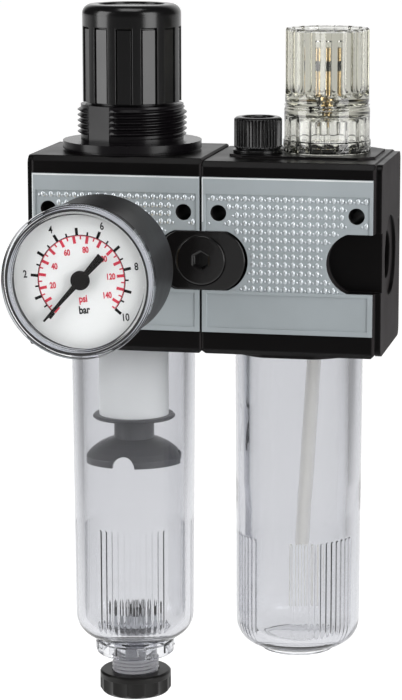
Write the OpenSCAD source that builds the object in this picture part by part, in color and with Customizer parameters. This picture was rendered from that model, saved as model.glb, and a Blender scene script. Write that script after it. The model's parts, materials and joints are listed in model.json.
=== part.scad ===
// Compressed-air service unit: filter regulator with gauge, coupled to an oil-mist lubricator.
// The origin is the middle of the inlet port's mouth. Air flows along +X, the gauge faces -Y, +Z is up.

/* [Blocks] */
// Width of each block along the air flow
block_w = 46.7; // [46:0.1:56]
// Front of the blocks, measured from the port axis
front_d = 19.6; // [19:0.1:26]
// Back of the blocks, measured from the port axis
back_d = 19.6; // [19:0.1:28]
// Top of the regulator block above the port axis
top_h = 27.15; // [26.5:0.05:32]
// Underside of the blocks below the port axis
bottom_h = 25.65; // [25:0.05:32]
// Bevel along the long front edges
bevel = 1.5; // [0.8:0.1:2.4]
// Bevel along the edges where the blocks meet
split_bevel = 0.9; // [0.3:0.1:1.5]
// Rounding of the upright corners
corner_r = 0.7; // [0.3:0.1:2]
// Thickness of the plate on each outer end
end_plate_t = 1.6; // [1.2:0.1:3]
// Height of the platform under sight dome and filler plug
platform_h = 0.6; // [0.3:0.1:1.5]
// Distance of the upright axes behind the port axis
axis_back = 0.5; // [0:0.1:0.8]

/* [Ports] */
// Wall radius of the threaded ports (major radius of the 1/4 inch pipe thread)
port_r = 6.58; // [6:0.01:7]
// Depth of the inlet and outlet threads
port_depth = 11; // [9:0.1:12]
// Radius of the flat recess round each port
port_recess_r = 11; // [9:0.1:13]
// Depth of that recess
port_recess_t = 1; // [0.4:0.1:1.4]
// Radius of the air passage between the blocks
passage_r = 5.5; // [4:0.1:5.8]
// Depth of the gauge ports in the front and back
gauge_port_depth = 8.6; // [7:0.1:9]
// Radius of the mounting holes through the blocks
mount_hole_r = 2.2; // [1.6:0.1:2.7]
// Distance of the mounting holes from the block sides
mount_hole_inset = 4.75; // [3.6:0.05:5.2]
// Height of the mounting holes above the port axis
mount_hole_z = 12.85; // [12:0.05:14]

/* [Faceplates] */
// Thickness of the silver plates on the front
plate_t = 0.9; // [0.6:0.1:1.5]
// Margin between plate and block edges
plate_margin = 0.35; // [0.2:0.05:1]
// Distance of the plate below the block top
plate_drop = 4.7; // [4:0.1:7]
// Height of the plate
plate_h = 41.8; // [38:0.1:43]
// Width of the raised rim
rim_w = 0.9; // [0.5:0.1:1.5]
// Depth of the bead field and label field below the rim
field_t = 0.3; // [0.15:0.05:0.5]
// Height of the smooth band above the bead field
band_h = 4.5; // [2:0.1:6]
// Height of the bare label field
label_h = 9.2; // [5:0.1:9.6]
// Rim below the label field
label_rim = 1.3; // [0.6:0.1:2]

/* [Coupling] */
// Width left between the two side cut-outs of a block
pocket_web = 21.1; // [20:0.1:23]
// Height of the side cut-outs
pocket_h = 16; // [15:0.1:17]
// End radius of the side cut-outs
pocket_r = 8.5; // [8.5:0.1:10]
// Depth of the side cut-outs in the block
pocket_depth = 4; // [3:0.1:5]
// Clearance between key and cut-out at the ends
key_end_gap = 0.8; // [0.3:0.1:1]
// Clearance between key and cut-out above, below and behind
key_gap = 0.05; // [0.05:0.05:0.3]
// Height of the key's front above the block front
key_proud = 0.75; // [0.3:0.05:1.5]
// Radius of the round coupling lock
lock_r = 6.55; // [5.5:0.05:7]
// Depth of the coupling lock in the key
lock_depth = 3; // [2:0.1:3.4]
// Height of the lock above the key
lock_proud = 0.15; // [0.05:0.05:1]
// Width across corners of the hex sockets
socket_corners = 5; // [4:0.1:7]

/* [Bonnet] */
// Radius of the bonnet flange
flange_r = 19.05; // [18:0.05:21]
// Thickness of the flange
flange_h = 2.1; // [1.5:0.1:3]
// Radius of the ring under the flange
base_ring_r = 18.6; // [17.6:0.1:19]
// Height of the ring under the flange
base_ring_h = 0.6; // [0.3:0.1:1.5]
// Root radius of the panel-nut thread
neck_r = 14.1; // [13.9:0.05:15]
// Height of the threaded neck
neck_h = 9.9; // [8:0.1:14]
// Distance of the two neck flats from the axis
neck_flat = 13.6; // [13.4:0.05:14]
// Direction of the flats
flat_angle = -118.6; // [-180:0.1:180]
// Outer radius of the tower inside the knob
tower_r = 11.4; // [11:0.1:11.5]
// Height of the tower above the neck
tower_h = 17.75; // [16:0.05:18]
// Inner radius of the spring chamber
spring_chamber_r = 9.9; // [9.6:0.1:10.1]
// Thickness of the tower's cap
cap_t = 1.6; // [1.2:0.1:2.2]

/* [Knob] */
// Outer radius of the setting knob
knob_r = 13.5; // [13.4:0.1:15]
// Height of the knob
knob_h = 26.4; // [26.2:0.1:30]
// Rest gap between knob and neck
knob_gap = 0.7; // [0.4:0.1:1.5]
// Wall of the knob
knob_wall = 1.6; // [1.4:0.1:1.7]
// Rounding of the knob's top edge
knob_round = 2.6; // [1.5:0.1:4]
// Height of the smooth cap above the grip panels
knob_cap_h = 6.7; // [5:0.1:9]
// Number of grip panels
panel_count = 12; // [8:1:16]
// Width of a grip panel
panel_w = 4.1; // [3:0.1:4.4]
// Depth of a grip panel
panel_depth = 0.55; // [0.3:0.05:0.8]
// Direction of the first grip panel
panel_turn = -86.3; // [-180:0.1:180]

/* [Setting screw and spring] */
// Radius of the setting screw
screw_r = 5; // [4.5:0.05:5.2]
// Corner radius of the screw's hex head
screw_head_r = 4.9; // [4.2:0.05:5]
// Radius of the screw's thrust collar
collar_r = 7.5; // [7:0.1:8.5]
// Height of the thrust collar
collar_h = 1.5; // [1:0.1:2]
// Height of the spring nut
nut_h = 5; // [4:0.1:6]
// Rest distance of the nut below the thrust collar
nut_rest = 3.3; // [2.5:0.1:4]
// Travel of the nut
nut_travel = 6; // [3:0.5:6]
// Mean radius of the setting spring
spring_r = 7.6; // [7:0.1:7.8]
// Wire radius of the setting spring
spring_wire = 1.1; // [0.8:0.05:1.3]
// Turns of the setting spring
spring_turns = 4.5; // [3:0.5:5]

/* [Diaphragm and valve] */
// Radius of the bonnet spigot that clamps the diaphragm
spigot_r = 17; // [16.4:0.1:17.4]
// Depth of the diaphragm seat below the block top
diaphragm_depth = 2.65; // [2.2:0.05:3]
// Thickness of the diaphragm
diaphragm_t = 0.9; // [0.6:0.1:1.2]
// Height of the diaphragm's dome
diaphragm_rise = 1.8; // [1.4:0.1:2.2]
// Radius of the free part of the diaphragm
chamber_r = 12.9; // [12.4:0.1:13.4]
// Depth of the chamber under the diaphragm
chamber_h = 4; // [3.4:0.1:4.6]
// Radius of the diaphragm plate
plate_r = 9.5; // [9.2:0.1:9.7]
// Thickness of the diaphragm plate
plate_disc_t = 1.8; // [1.2:0.1:2.4]
// Radius of the relief seat's hub
hub_r = 3.9; // [3:0.1:4.5]
// Thickness of the web between diaphragm chamber and outlet chamber
web_t = 5.5; // [4:0.1:6.5]
// Radius of the valve's bore
valve_bore_r = 8; // [7.6:0.1:8.3]
// Height of the valve seat's underside above the port axis
seat_z = 3; // [2.4:0.1:3.4]
// Thickness of the valve seat
seat_t = 3; // [2:0.1:3.6]
// Radius of the opening in the seat
seat_hole_r = 4.2; // [3.6:0.1:4.6]
// Radius of the poppet
poppet_r = 5.4; // [5:0.1:5.8]
// Thickness of the poppet
poppet_t = 2.6; // [2:0.1:3]
// Radius of the poppet's stem
stem_r = 1.5; // [1.2:0.05:1.8]
// Travel of the valve
valve_travel = 1.5; // [0.8:0.1:1.5]

/* [Filter] */
// Depth of the filter bowl's socket
socket_depth = 16; // [14:0.1:16]
// Outer radius of the filter element
element_r = 9.7; // [9:0.1:10.5]
// Wall of the filter element
element_wall = 2.5; // [1.5:0.1:3]
// Length of the filter element
element_len = 33.95; // [28:0.05:38]
// Thickness of the carrier's flange
carrier_flange_t = 3; // [2:0.1:4]
// Radius of the tie rod through the element
rod_r = 2.4; // [1.8:0.1:3]
// Radius of the retainer's flange
retainer_r = 11.5; // [10.8:0.1:12.5]
// Thickness of the retainer's flange
retainer_t = 1.0; // [0.9:0.1:2.5]
// Radius of the retainer's neck
retainer_neck_r = 5.6; // [5:0.1:7]
// Height of the retainer's neck
retainer_neck_h = 5.8; // [4:0.1:7]
// Radius of the umbrella baffle
baffle_r = 13.4; // [12.5:0.1:13.7]
// Drop of the baffle's cone
baffle_drop = 4.6; // [3:0.1:6]
// Height of the baffle's skirt
baffle_skirt = 1.9; // [1.5:0.1:4]
// Wall of the baffle
baffle_wall = 1.1; // [0.8:0.1:1.5]
// Width of the baffle's notches
baffle_notch_w = 5.9; // [4:0.1:7]

/* [Filter bowl] */
// Outer radius of the filter bowl just below the block
bowl_r = 17.25; // [16.8:0.05:17.6]
// Outer radius of the filter bowl above its bottom curve
bowl_low_r = 16.7; // [16.4:0.05:17.2]
// Inner radius of the filter bowl
bowl_in_r = 14.2; // [14:0.05:14.5]
// Bottom of the filter bowl below the port axis
bowl_bottom = 111.3; // [100:0.1:120]
// Outer bottom radius of the filter bowl
bowl_round = 7.2; // [5:0.1:8]
// Thickness of the bowl's bottom
bowl_floor_t = 2.5; // [2:0.1:4]
// Radius of the collar under the bowl
bowl_collar_r = 10.9; // [9:0.1:12]
// Height of the collar
bowl_collar_h = 4.6; // [3:0.1:6]
// Root radius of the drain stem's thread
drain_stem_r = 6.1; // [5.6:0.05:6.3]
// Length of the drain stem
drain_stem_len = 7.6; // [7.2:0.1:7.8]
// Number of ribs inside the bowls
rib_count = 32; // [16:1:36]
// Width of a rib
rib_w = 1.35; // [0.6:0.1:1.4]
// Height of a rib above the wall
rib_h = 0.8; // [0.5:0.1:1.1]
// Top of the filter bowl's ribs below the port axis
rib_top = 77.4; // [76:0.1:90]

/* [Drain] */
// Radius of the drain knob
drain_knob_r = 10.05; // [9.5:0.05:11.5]
// Height of the drain knob
drain_knob_h = 6.25; // [6:0.1:8]
// Gap between collar and drain knob
drain_gap = 5.35; // [4.8:0.05:5.8]
// Travel of the drain valve
drain_travel = 2.5; // [1:0.1:2.5]
// Number of grip flutes on the drain knob
drain_flutes = 14; // [10:1:20]
// Radius of the drain plunger's tail
plunger_r = 2.92; // [2.5:0.01:3.2]
// Radius of the drain plunger's head
plunger_head_r = 7.6; // [6.5:0.1:8.5]
// Height of the drain plunger's head
plunger_head_h = 3.2; // [2:0.1:4]

/* [Gauge] */
// Radius of the gauge window's rim
window_r = 19.9; // [19.6:0.1:22]
// Radius of the gauge case
case_r = 19.3; // [19:0.1:19.5]
// Distance of the gauge front from the port axis
gauge_front = 63.2; // [59:0.1:68]
// Depth of the gauge without its stem
gauge_depth = 27; // [23:0.1:28.5]
// Depth of the window's rim
window_rim_depth = 4; // [3.8:0.1:5]
// Radius of the dial
dial_r = 17.9; // [17.6:0.1:17.9]
// Wall of the gauge case
case_wall = 1.3; // [1:0.1:1.8]
// Width across corners of the stem's hexagon
stem_hex = 16.2; // [14:0.1:18]
// Length of the stem's hexagon
stem_hex_len = 9.5; // [5:0.1:9.5]
// Length of the pointer from hub to tip
pointer_len = 14.6; // [10:0.1:15.5]
// Direction of the pointer at rest
pointer_angle = 228.4; // [220:0.1:240]

/* [Lubricator bowl] */
// Outer radius of the lubricator bowl just below the block
oil_bowl_r = 17.65; // [17.2:0.05:18]
// Outer radius of the lubricator bowl above its bottom curve
oil_bowl_low_r = 17.2; // [16.8:0.05:17.6]
// Inner radius of the lubricator bowl's upper part
oil_in_r = 13.75; // [13.5:0.05:14.4]
// Inner radius of the lubricator bowl's lower part
oil_in_low_r = 13.3; // [13:0.05:13.8]
// Height of the inner step below the port axis
oil_step = 69.6; // [60:0.1:76]
// Bottom of the lubricator bowl below the port axis
oil_bottom = 110.4; // [100:0.1:118]
// Thickness of the lubricator bowl's bottom
oil_floor_t = 4.9; // [4:0.1:7]
// Foot ring under the lubricator bowl
foot_r = 10.3; // [8:0.1:11]
// Height of the foot ring
foot_h = 1.2; // [0.8:0.1:3]
// Depth of the lubricator bowl's socket
oil_socket_depth = 14; // [12:0.1:15]
// Radius of the ring round the lubricator bowl's socket
socket_ring_r = 19.9; // [19:0.1:21]
// Height of the ring below the block
socket_ring_h = 0.7; // [0.3:0.1:1.5]
// Outer radius of the siphon tube
siphon_r = 2.05; // [1.6:0.05:2.5]
// Bore radius of the siphon tube
siphon_bore_r = 1.2; // [0.8:0.05:1.3]
// Tilt of the siphon tube
siphon_tilt = 3.6; // [0:0.1:4]
// Length of the siphon tube in the bowl
siphon_len = 90.5; // [60:0.5:91]

/* [Sight dome] */
// Sight dome axis, measured from the lubricator's axis along the flow
dome_dx = 6.45; // [5:0.05:8]
// Sight dome axis behind the port axis
dome_dy = 5.9; // [4:0.1:8]
// Radius of the dome
dome_r = 11.75; // [10.5:0.05:11.9]
// Radius of the dome's foot collar
dome_collar_r = 12.05; // [11:0.05:12.2]
// Height of the foot collar
dome_collar_h = 3.5; // [2:0.1:5]
// Height of the dome
dome_h = 13.05; // [11:0.05:16]
// Inner radius of the dome
dome_in_r = 9.2; // [8:0.1:9.4]
// Thickness of the dome's top
dome_top_t = 2.6; // [2:0.1:4]
// Radius of the dome's spigot in the block
dome_spigot_r = 10.3; // [9.8:0.1:10.6]
// Depth of the dome's recess in the block
dome_recess = 2.6; // [2.2:0.1:3.5]
// Radius of the metering knob
meter_r = 11.5; // [10:0.1:12]
// Height of the metering knob
meter_h = 20.25; // [18:0.05:24]
// Number of flutes on the metering knob
meter_flutes = 16; // [10:1:24]
// Radius of the metering needle
needle_r = 1.92; // [1.5:0.01:2.2]
// Length of the needle's shank
needle_len = 14.1; // [11:0.1:14.5]
// Outer radius of the drip tube's tip
drip_r = 0.85; // [0.6:0.05:1.1]

/* [Filler plug] */
// Filler plug axis, measured from the lubricator's axis against the flow
plug_dx = 11.35; // [11:0.05:12.5]
// Filler plug axis in front of the port axis
plug_dy = 1; // [0.5:0.1:2]
// Radius of the plug's knurled head
plug_r = 6.5; // [5.5:0.05:6.5]
// Height of the knurled head
plug_h = 8.5; // [6:0.1:12]
// Height of the ring under the head
plug_ring_h = 1.2; // [0.6:0.1:2]
// Radius of the plug's shank
plug_shank_r = 4.62; // [4:0.01:4.8]
// Length of the shank
plug_shank_len = 8.6; // [6:0.1:9]
// Number of grip grooves round the plug's head
plug_grooves = 40; // [20:1:48]

/* [Hidden] */
$fn = 96;
// Running clearance between a turning or sliding piece and its guide
fit = 0.08;
// Small air gap between faces that meet
face_gap = 0.05;
// Overshoot of a cutting solid
cut = 0.5;

left_x = -port_recess_t;
block_x = left_x + end_plate_t;
split_x = block_x + block_w;
right_x = split_x + block_w + end_plate_t;
reg_x = block_x + block_w / 2;
lub_x = split_x + block_w / 2;
block_d = front_d + back_d;
mid_y = (back_d - front_d) / 2;
plate_top = top_h - plate_drop;
plate_bottom = plate_top - plate_h;
oil_top = top_h - platform_h;

pocket_len = (block_w - pocket_web) / 2;

// Outer bevels and setbacks of the end plates
end_bevel = 0.9;
end_front = 2.1;
end_top_drop = 0.3;
end_round = 2.4;
slot_w = 1;
slot_h = 4;
slot_depth = 1;
slot_inset = 2.9;
slot_low_z = -3.9;
slot_high_z = 5.7;

// Platform outline margins
platform_front = 10;
platform_inner = 5;
platform_outer = 2;
platform_back = 1.4;
platform_cut = 4;

// Bonnet and knob heights
flange_z = top_h + base_ring_h;
neck_z = flange_z + flange_h;
neck_top = neck_z + neck_h;
tower_top = neck_top + tower_h;
knob_z = neck_top + knob_gap;
knob_top = knob_z + knob_h;
neck_chamber_r = chamber_r - 0.1;
neck_roof = neck_top - 1.55;
collar_z = tower_top - cap_t - face_gap - collar_h;
nut_z = collar_z - nut_rest - nut_h;
nut_r = spring_chamber_r - 0.3;
nut_key_w = 3;
nut_key_r = spring_chamber_r + 0.6;
key_clear = 0.3;
screw_bottom = nut_z - nut_travel - 1.5;
screw_head_top = knob_top - 2.8;
knob_roof = knob_top - 1.9;
boss_r = 8;
boss_z = tower_top + 1.1;
thumb_r = 9;
thumb_t = 0.5;

// Diaphragm and valve heights
rim_z = top_h - diaphragm_depth;
chamber_z = rim_z - chamber_h;
outlet_top = chamber_z - web_t;
crown_z = rim_z + diaphragm_rise;
disc_z = crown_z + diaphragm_t;
disc_top = disc_z + plate_disc_t;
relief_r = 7;
relief_t = 1.7;
relief_z = crown_z - relief_t;
seat_top = seat_z + seat_t;
outlet_r = 6.5;
poppet_top = seat_z - 0.1;
poppet_z = poppet_top - poppet_t;
valve_spring_r = 4;
valve_spring_wire = 0.4;
valve_spring_turns = 5;
socket_z = socket_depth - bottom_h;
carrier_top = poppet_z - valve_travel - 1.3;
carrier_floor = socket_z + 1.65;
carrier_pocket_r = valve_spring_r + 1.5;
carrier_bottom = socket_z - carrier_flange_t;
guide_bottom = carrier_bottom + 0.6;
stem_low = guide_bottom + valve_travel + 0.3;

// Filter stack heights
element_z = carrier_bottom - element_len;
retainer_z = element_z - retainer_t;
neck_low = retainer_z - retainer_neck_h;
rim_low = neck_low - baffle_drop;
// Points of the baffle's rounded top, as shares of its width and drop
baffle_bulge = [[0.3, 0.17], [0.58, 0.4], [0.83, 0.7]];
skirt_z = rim_low - baffle_skirt;
rod_bottom = neck_low - 1.6;

// Bowl rims and seals
socket_wall_r = bowl_r + fit;
oil_wall_r = oil_bowl_r + fit;
oil_socket_z = oil_socket_depth - bottom_h;
rim_gap = 0.35;
bowl_seal_r = 0.85;
seal_play = 0.02;
bowl_seal_groove = 1.4;
bowl_floor = bowl_floor_t - bowl_bottom;
oil_floor = oil_floor_t - oil_bottom;
collar_bottom = -bowl_bottom - bowl_collar_h;
stem_bottom = collar_bottom - drain_stem_len;
pad_w = 2.6;
pad_h = 2.4;
pad_t = 0.3;
pad_count = 8;

// Drain
drain_top = collar_bottom - drain_gap;
drain_bottom = drain_top - drain_knob_h;
drain_bore_r = drain_stem_r + 0.65;
drain_flute_depth = 0.6;
drain_rim_h = 1.3;
drain_knob_floor = stem_bottom - drain_travel - 0.4;
drain_hole_r = plunger_r + fit;
drain_seal_mean = plunger_r + 1.2;
drain_seal_r = 0.6;
plunger_z = bowl_floor + 2 * drain_seal_r + face_gap;
plunger_slots = 8;
plunger_slot_w = 1.2;
plunger_body_r = 6;
plunger_body_h = 2.7;
drain_way_r = 1.2;

// Gauge planes along Y
window_y = -gauge_front;
window_back = window_y + window_rim_depth;
case_back = window_y + gauge_depth;
case_front = window_back - 1.3;
pane_in = 1.4;
pane_t = 1.2;
rim_in_r = 17.3;
rim_edge = 0.4;
rim_groove_r = 18.5;
dial_y = window_y + pane_in + pane_t + 2.9;
dial_t = 0.6;
pointer_y = dial_y - 1.1;
pointer_t = 0.6;
stem_neck_len = 5.2;
stem_neck_r = 6;
pointer_hub_r = 2.5;
arbor_r = 0.6;
stem_end = -front_d + gauge_port_depth - 0.6;
bourdon_r = 11.5;
bourdon_tube_r = 1.6;
stem_inner = 4;
bourdon_y = case_back - stem_inner - bourdon_tube_r - 0.3;
movement_r = 7;
movement_t = 1;
movement_gap = 3;
movement_y = bourdon_y - bourdon_tube_r - 0.7;
post_r = 0.9;

// Lubricator
dome_x = lub_x + dome_dx;
dome_z = top_h;
dome_top = dome_z + dome_h;
dome_floor = dome_top - dome_top_t;
dome_seal_r = 0.65;
meter_z = dome_top + 0.15;
meter_top = meter_z + meter_h;
meter_spigot_r = 4.15;
meter_spigot_z = dome_floor + 0.6;
meter_bore_r = needle_r + fit;
meter_recess_r = 9.8;
meter_recess_t = 0.8;
flute_depth = 0.6;
flute_foot = 2.4;
needle_z = meter_z + 0.95;
needle_point_r = 0.4;
needle_point_len = 1.8;
seal_rise = 7.9;
seal_z = needle_z + seal_rise;
seal_h = 2.7;
seal_in_r = needle_r - 0.6;
drip_bottom = dome_floor - 3.4;
drip_top = needle_z - 0.4;
nozzle_len = 5.8;
plug_x = lub_x - plug_dx;
plug_y = -plug_dy;
plug_ring_r = plug_r + 0.25;
plug_seal_r = 0.62;
plug_seal_mean = plug_shank_r + 0.95;
plug_seat_depth = 2 * plug_seal_r;
plug_head_z = top_h + face_gap;
groove_r = 0.28;
fill_r = 1.4;
fill_angle = -62;
fill_len = 8.4;
venturi_r = passage_r - fit;
venturi_len = 20;
throat_r = 3;
throat_in = 11;
throat_out = 4;
siphon_dx = 4.2;
siphon_dy = 8.9;
siphon_x = lub_x + siphon_dx;
siphon_y = axis_back + siphon_dy;
siphon_insert = 6;
ball_r = 1.5;
siphon_end = siphon_insert - 1.2;
// the ball rests on the edge of the siphon tube's bore, on the tube's own slanted line
ball_up = siphon_end + sqrt(pow(ball_r, 2) - pow(siphon_bore_r, 2)) + 0.04;
ball_x = siphon_x + ball_up * sin(siphon_tilt);
ball_z = oil_socket_z + ball_up * cos(siphon_tilt);
ball_room_z = oil_socket_z + siphon_insert - 1;
ball_room_h = 6;
channel_r = 1.2;
interface_seal_r = 0.75;
interface_seal_mean = passage_r + 1.9;

black = [0.09, 0.09, 0.1];
silver = [0.7, 0.72, 0.74];
steel = [0.62, 0.63, 0.65];
brass = [0.78, 0.6, 0.3];
rubber = [0.05, 0.05, 0.05];
clear = [0.85, 0.88, 0.9, 0.4];
amber = [0.82, 0.77, 0.6, 0.45];
white = [0.93, 0.93, 0.9];

// ---- Shared shapes ----

module rod_x(x, y, z, r, len) {
    translate([x, y, z]) rotate([0, 90, 0]) cylinder(r = r, h = len);
}

module rod_y(x, y, z, r, len) {
    translate([x, y, z]) rotate([-90, 0, 0]) cylinder(r = r, h = len);
}

module rod_z(x, y, z, r, len) {
    translate([x, y, z]) cylinder(r = r, h = len);
}

module ring_z(x, y, z, r_out, r_in, len) {
    translate([x, y, z]) difference() {
        cylinder(r = r_out, h = len);
        translate([0, 0, -cut]) cylinder(r = r_in, h = len + 2 * cut);
    }
}

module rounded_rect(w, d, r) {
    square([w - 2 * r, d], center = true);
    square([w, d - 2 * r], center = true);
    for (x = [-1, 1], y = [-1, 1]) {
        translate([x * (w / 2 - r), y * (d / 2 - r)]) circle(r);
    }
}

// An O-ring about the Z axis of the place given
module o_ring(x, y, z, mean_r, section_r) {
    translate([x, y, z]) rotate_extrude() translate([mean_r, 0]) circle(section_r);
}

// A compression spring from z0 to z1, swept as a closed tube
module coil(z0, z1, mean_r, wire_r, turns, steps, sides) {
    count = ceil(turns * steps);
    rise = z1 - z0 - 2 * wire_r;
    points = [
        for (i = [0 : count], k = [0 : sides - 1])
            let (a = 360 * turns * i / count, b = 360 * k / sides)
            [
                (mean_r + wire_r * cos(b)) * cos(a),
                (mean_r + wire_r * cos(b)) * sin(a),
                z0 + wire_r + rise * i / count + wire_r * sin(b)
            ]
    ];
    sides_faces = [
        for (i = [0 : count - 1], k = [0 : sides - 1])
            let (n = (k + 1) % sides)
            [i * sides + k, (i + 1) * sides + k, (i + 1) * sides + n, i * sides + n]
    ];
    caps = [[for (k = [0 : sides - 1]) k], [for (k = [0 : sides - 1]) (count + 1) * sides - 1 - k]];
    polyhedron(points = points, faces = concat(sides_faces, caps), convexity = 6);
}

// Outline of a side cut-out or key: round ends clipped above and below
module slot_outline(half_len, r, h) {
    intersection() {
        union() {
            for (s = [-1, 1]) translate([s * (half_len - r), 0]) circle(r);
            square([2 * (half_len - r), 2 * r], center = true);
        }
        square([2 * half_len + cut, h], center = true);
    }
}

// Grip flutes round a rim, each spanning nine tenths of its share and dipping by depth
module flutes(r, count, depth, z, h) {
    half = r * sin(162 / count);
    dip = depth - r * (1 - cos(162 / count));
    flute_r = (pow(half, 2) + pow(dip, 2)) / (2 * dip);
    for (i = [0 : count - 1]) rotate(360 * i / count)
        rod_z(r + flute_r - depth, 0, z, flute_r, h);
}

// Stands a flat outline upright in the XZ plane at y, with its thickness towards +Y
module upright(x, y, z, len) {
    translate([x, y + len, z]) rotate([90, 0, 0]) linear_extrude(len) children();
}

// ---- Blocks ----

// A block between x0 and x0 + block_w; the split side has its own bevel
module block_blank(x0, top, split_side) {
    left = split_side > 0 ? end_bevel : split_bevel;
    right = split_side > 0 ? split_bevel : end_bevel;
    intersection() {
        translate([x0 + block_w / 2, mid_y, -bottom_h])
            linear_extrude(top + bottom_h) rounded_rect(block_w, block_d, corner_r);
        translate([x0, 0, 0]) rotate([90, 0, 90]) linear_extrude(block_w) polygon([
            [-front_d, bevel - bottom_h], [bevel - front_d, -bottom_h],
            [back_d - split_bevel, -bottom_h], [back_d, split_bevel - bottom_h],
            [back_d, top - split_bevel], [back_d - split_bevel, top],
            [bevel - front_d, top], [-front_d, top - bevel]
        ]);
        upright(x0, -front_d, 0, block_d) polygon([
            [0, left - bottom_h], [left, -bottom_h],
            [block_w - right, -bottom_h], [block_w, right - bottom_h],
            [block_w, top - right / 2], [block_w - right / 2, top],
            [left / 2, top], [0, top - left / 2]
        ]);
    }
}

// The plate on an outer end; out is -1 at the inlet and 1 at the outlet
module end_plate(x0, top) {
    d = block_d - end_front;
    h = top + bottom_h - 2 * end_top_drop;
    translate([x0, end_front + mid_y - end_front / 2, (top - bottom_h) / 2])
        rotate([90, 0, 90]) linear_extrude(end_plate_t) rounded_rect(d, h, end_round);
}

module port_cut(face_x, out) {
    depth = port_depth + port_recess_t + cut;
    recess = port_recess_t + cut;
    rod_x(out > 0 ? face_x + cut - depth : face_x - cut, 0, 0, port_r, depth);
    rod_x(out > 0 ? face_x + cut - recess : face_x - cut, 0, 0, port_recess_r, recess);
}

// Two short slots in an end plate
module end_slots(face_x, out) {
    x = out > 0 ? face_x - slot_depth : face_x - cut;
    low_y = slot_inset - front_d;
    high_y = back_d - slot_inset - slot_w;
    translate([x, low_y, slot_low_z - slot_h / 2]) cube([slot_depth + cut, slot_w, slot_h]);
    translate([x, high_y, slot_high_z - slot_h / 2]) cube([slot_depth + cut, slot_w, slot_h]);
}

module mount_holes(x0) {
    for (x = [mount_hole_inset, block_w - mount_hole_inset]) {
        rod_y(x0 + x, -front_d - plate_t - cut, mount_hole_z, mount_hole_r, block_d + plate_t + 2 * cut);
    }
}

// Side cut-outs at both sides of the block that starts at x0
module side_pockets(x0, y, depth) {
    for (x = [x0, x0 + block_w]) {
        upright(x, y, 0, depth) slot_outline(pocket_len, pocket_r, pocket_h);
    }
}

module filter_regulator_body() {
    drop_x = reg_x - valve_bore_r - 3.6;
    side_x = reg_x + valve_bore_r + 4.1;
    side_r = 3.2;
    link_z = (seat_top + outlet_top) / 2;
    tap_y = gauge_port_depth - front_d - 0.4;
    color(black) difference() {
        union() {
            block_blank(block_x, top_h, 1);
            end_plate(left_x, top_h);
        }
        port_cut(left_x, -1);
        end_slots(left_x, -1);
        mount_holes(block_x);
        side_pockets(block_x, -front_d - cut, pocket_depth + cut);
        // inlet passage and drop into the bowl
        rod_x(0, 0, 0, 4.5, drop_x + 1);
        rod_z(drop_x, 0, socket_z - cut, 2.6, cut - socket_z);
        // bowl socket, valve bore and outlet chamber
        rod_z(reg_x, axis_back, -bottom_h - cut, socket_wall_r, socket_depth + cut);
        rod_z(reg_x, axis_back, socket_z - cut, valve_bore_r, seat_top - socket_z + cut);
        rod_z(reg_x, axis_back, seat_top - cut, outlet_r, outlet_top - seat_top + cut);
        // way from the outlet chamber down to the interface
        rod_x(reg_x, axis_back, link_z, 3, side_x - reg_x);
        rod_z(side_x, axis_back, 0, side_r, link_z + 1);
        rod_x(side_x, 0, 0, passage_r, split_x - side_x + cut);
        // diaphragm chamber, its seat and the guide of the valve stem
        rod_z(reg_x, axis_back, chamber_z, chamber_r, chamber_h + cut);
        rod_z(reg_x, axis_back, rim_z, spigot_r + fit, diaphragm_depth + cut);
        rod_z(reg_x, axis_back, outlet_top - cut, stem_r + fit, web_t + 2 * cut);
        rod_z(reg_x + 4.4, axis_back, outlet_top - cut, 1, web_t + 2 * cut);
        // gauge ports, the front one tapped from the outlet chamber
        rod_y(reg_x, -front_d - cut, 0, port_r, gauge_port_depth + cut);
        rod_y(reg_x, back_d - gauge_port_depth, 0, port_r, gauge_port_depth + cut);
        rod_z(reg_x, tap_y, 0, channel_r, link_z);
        rod_y(reg_x, tap_y, link_z, channel_r, -tap_y);
    }
}

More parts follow.
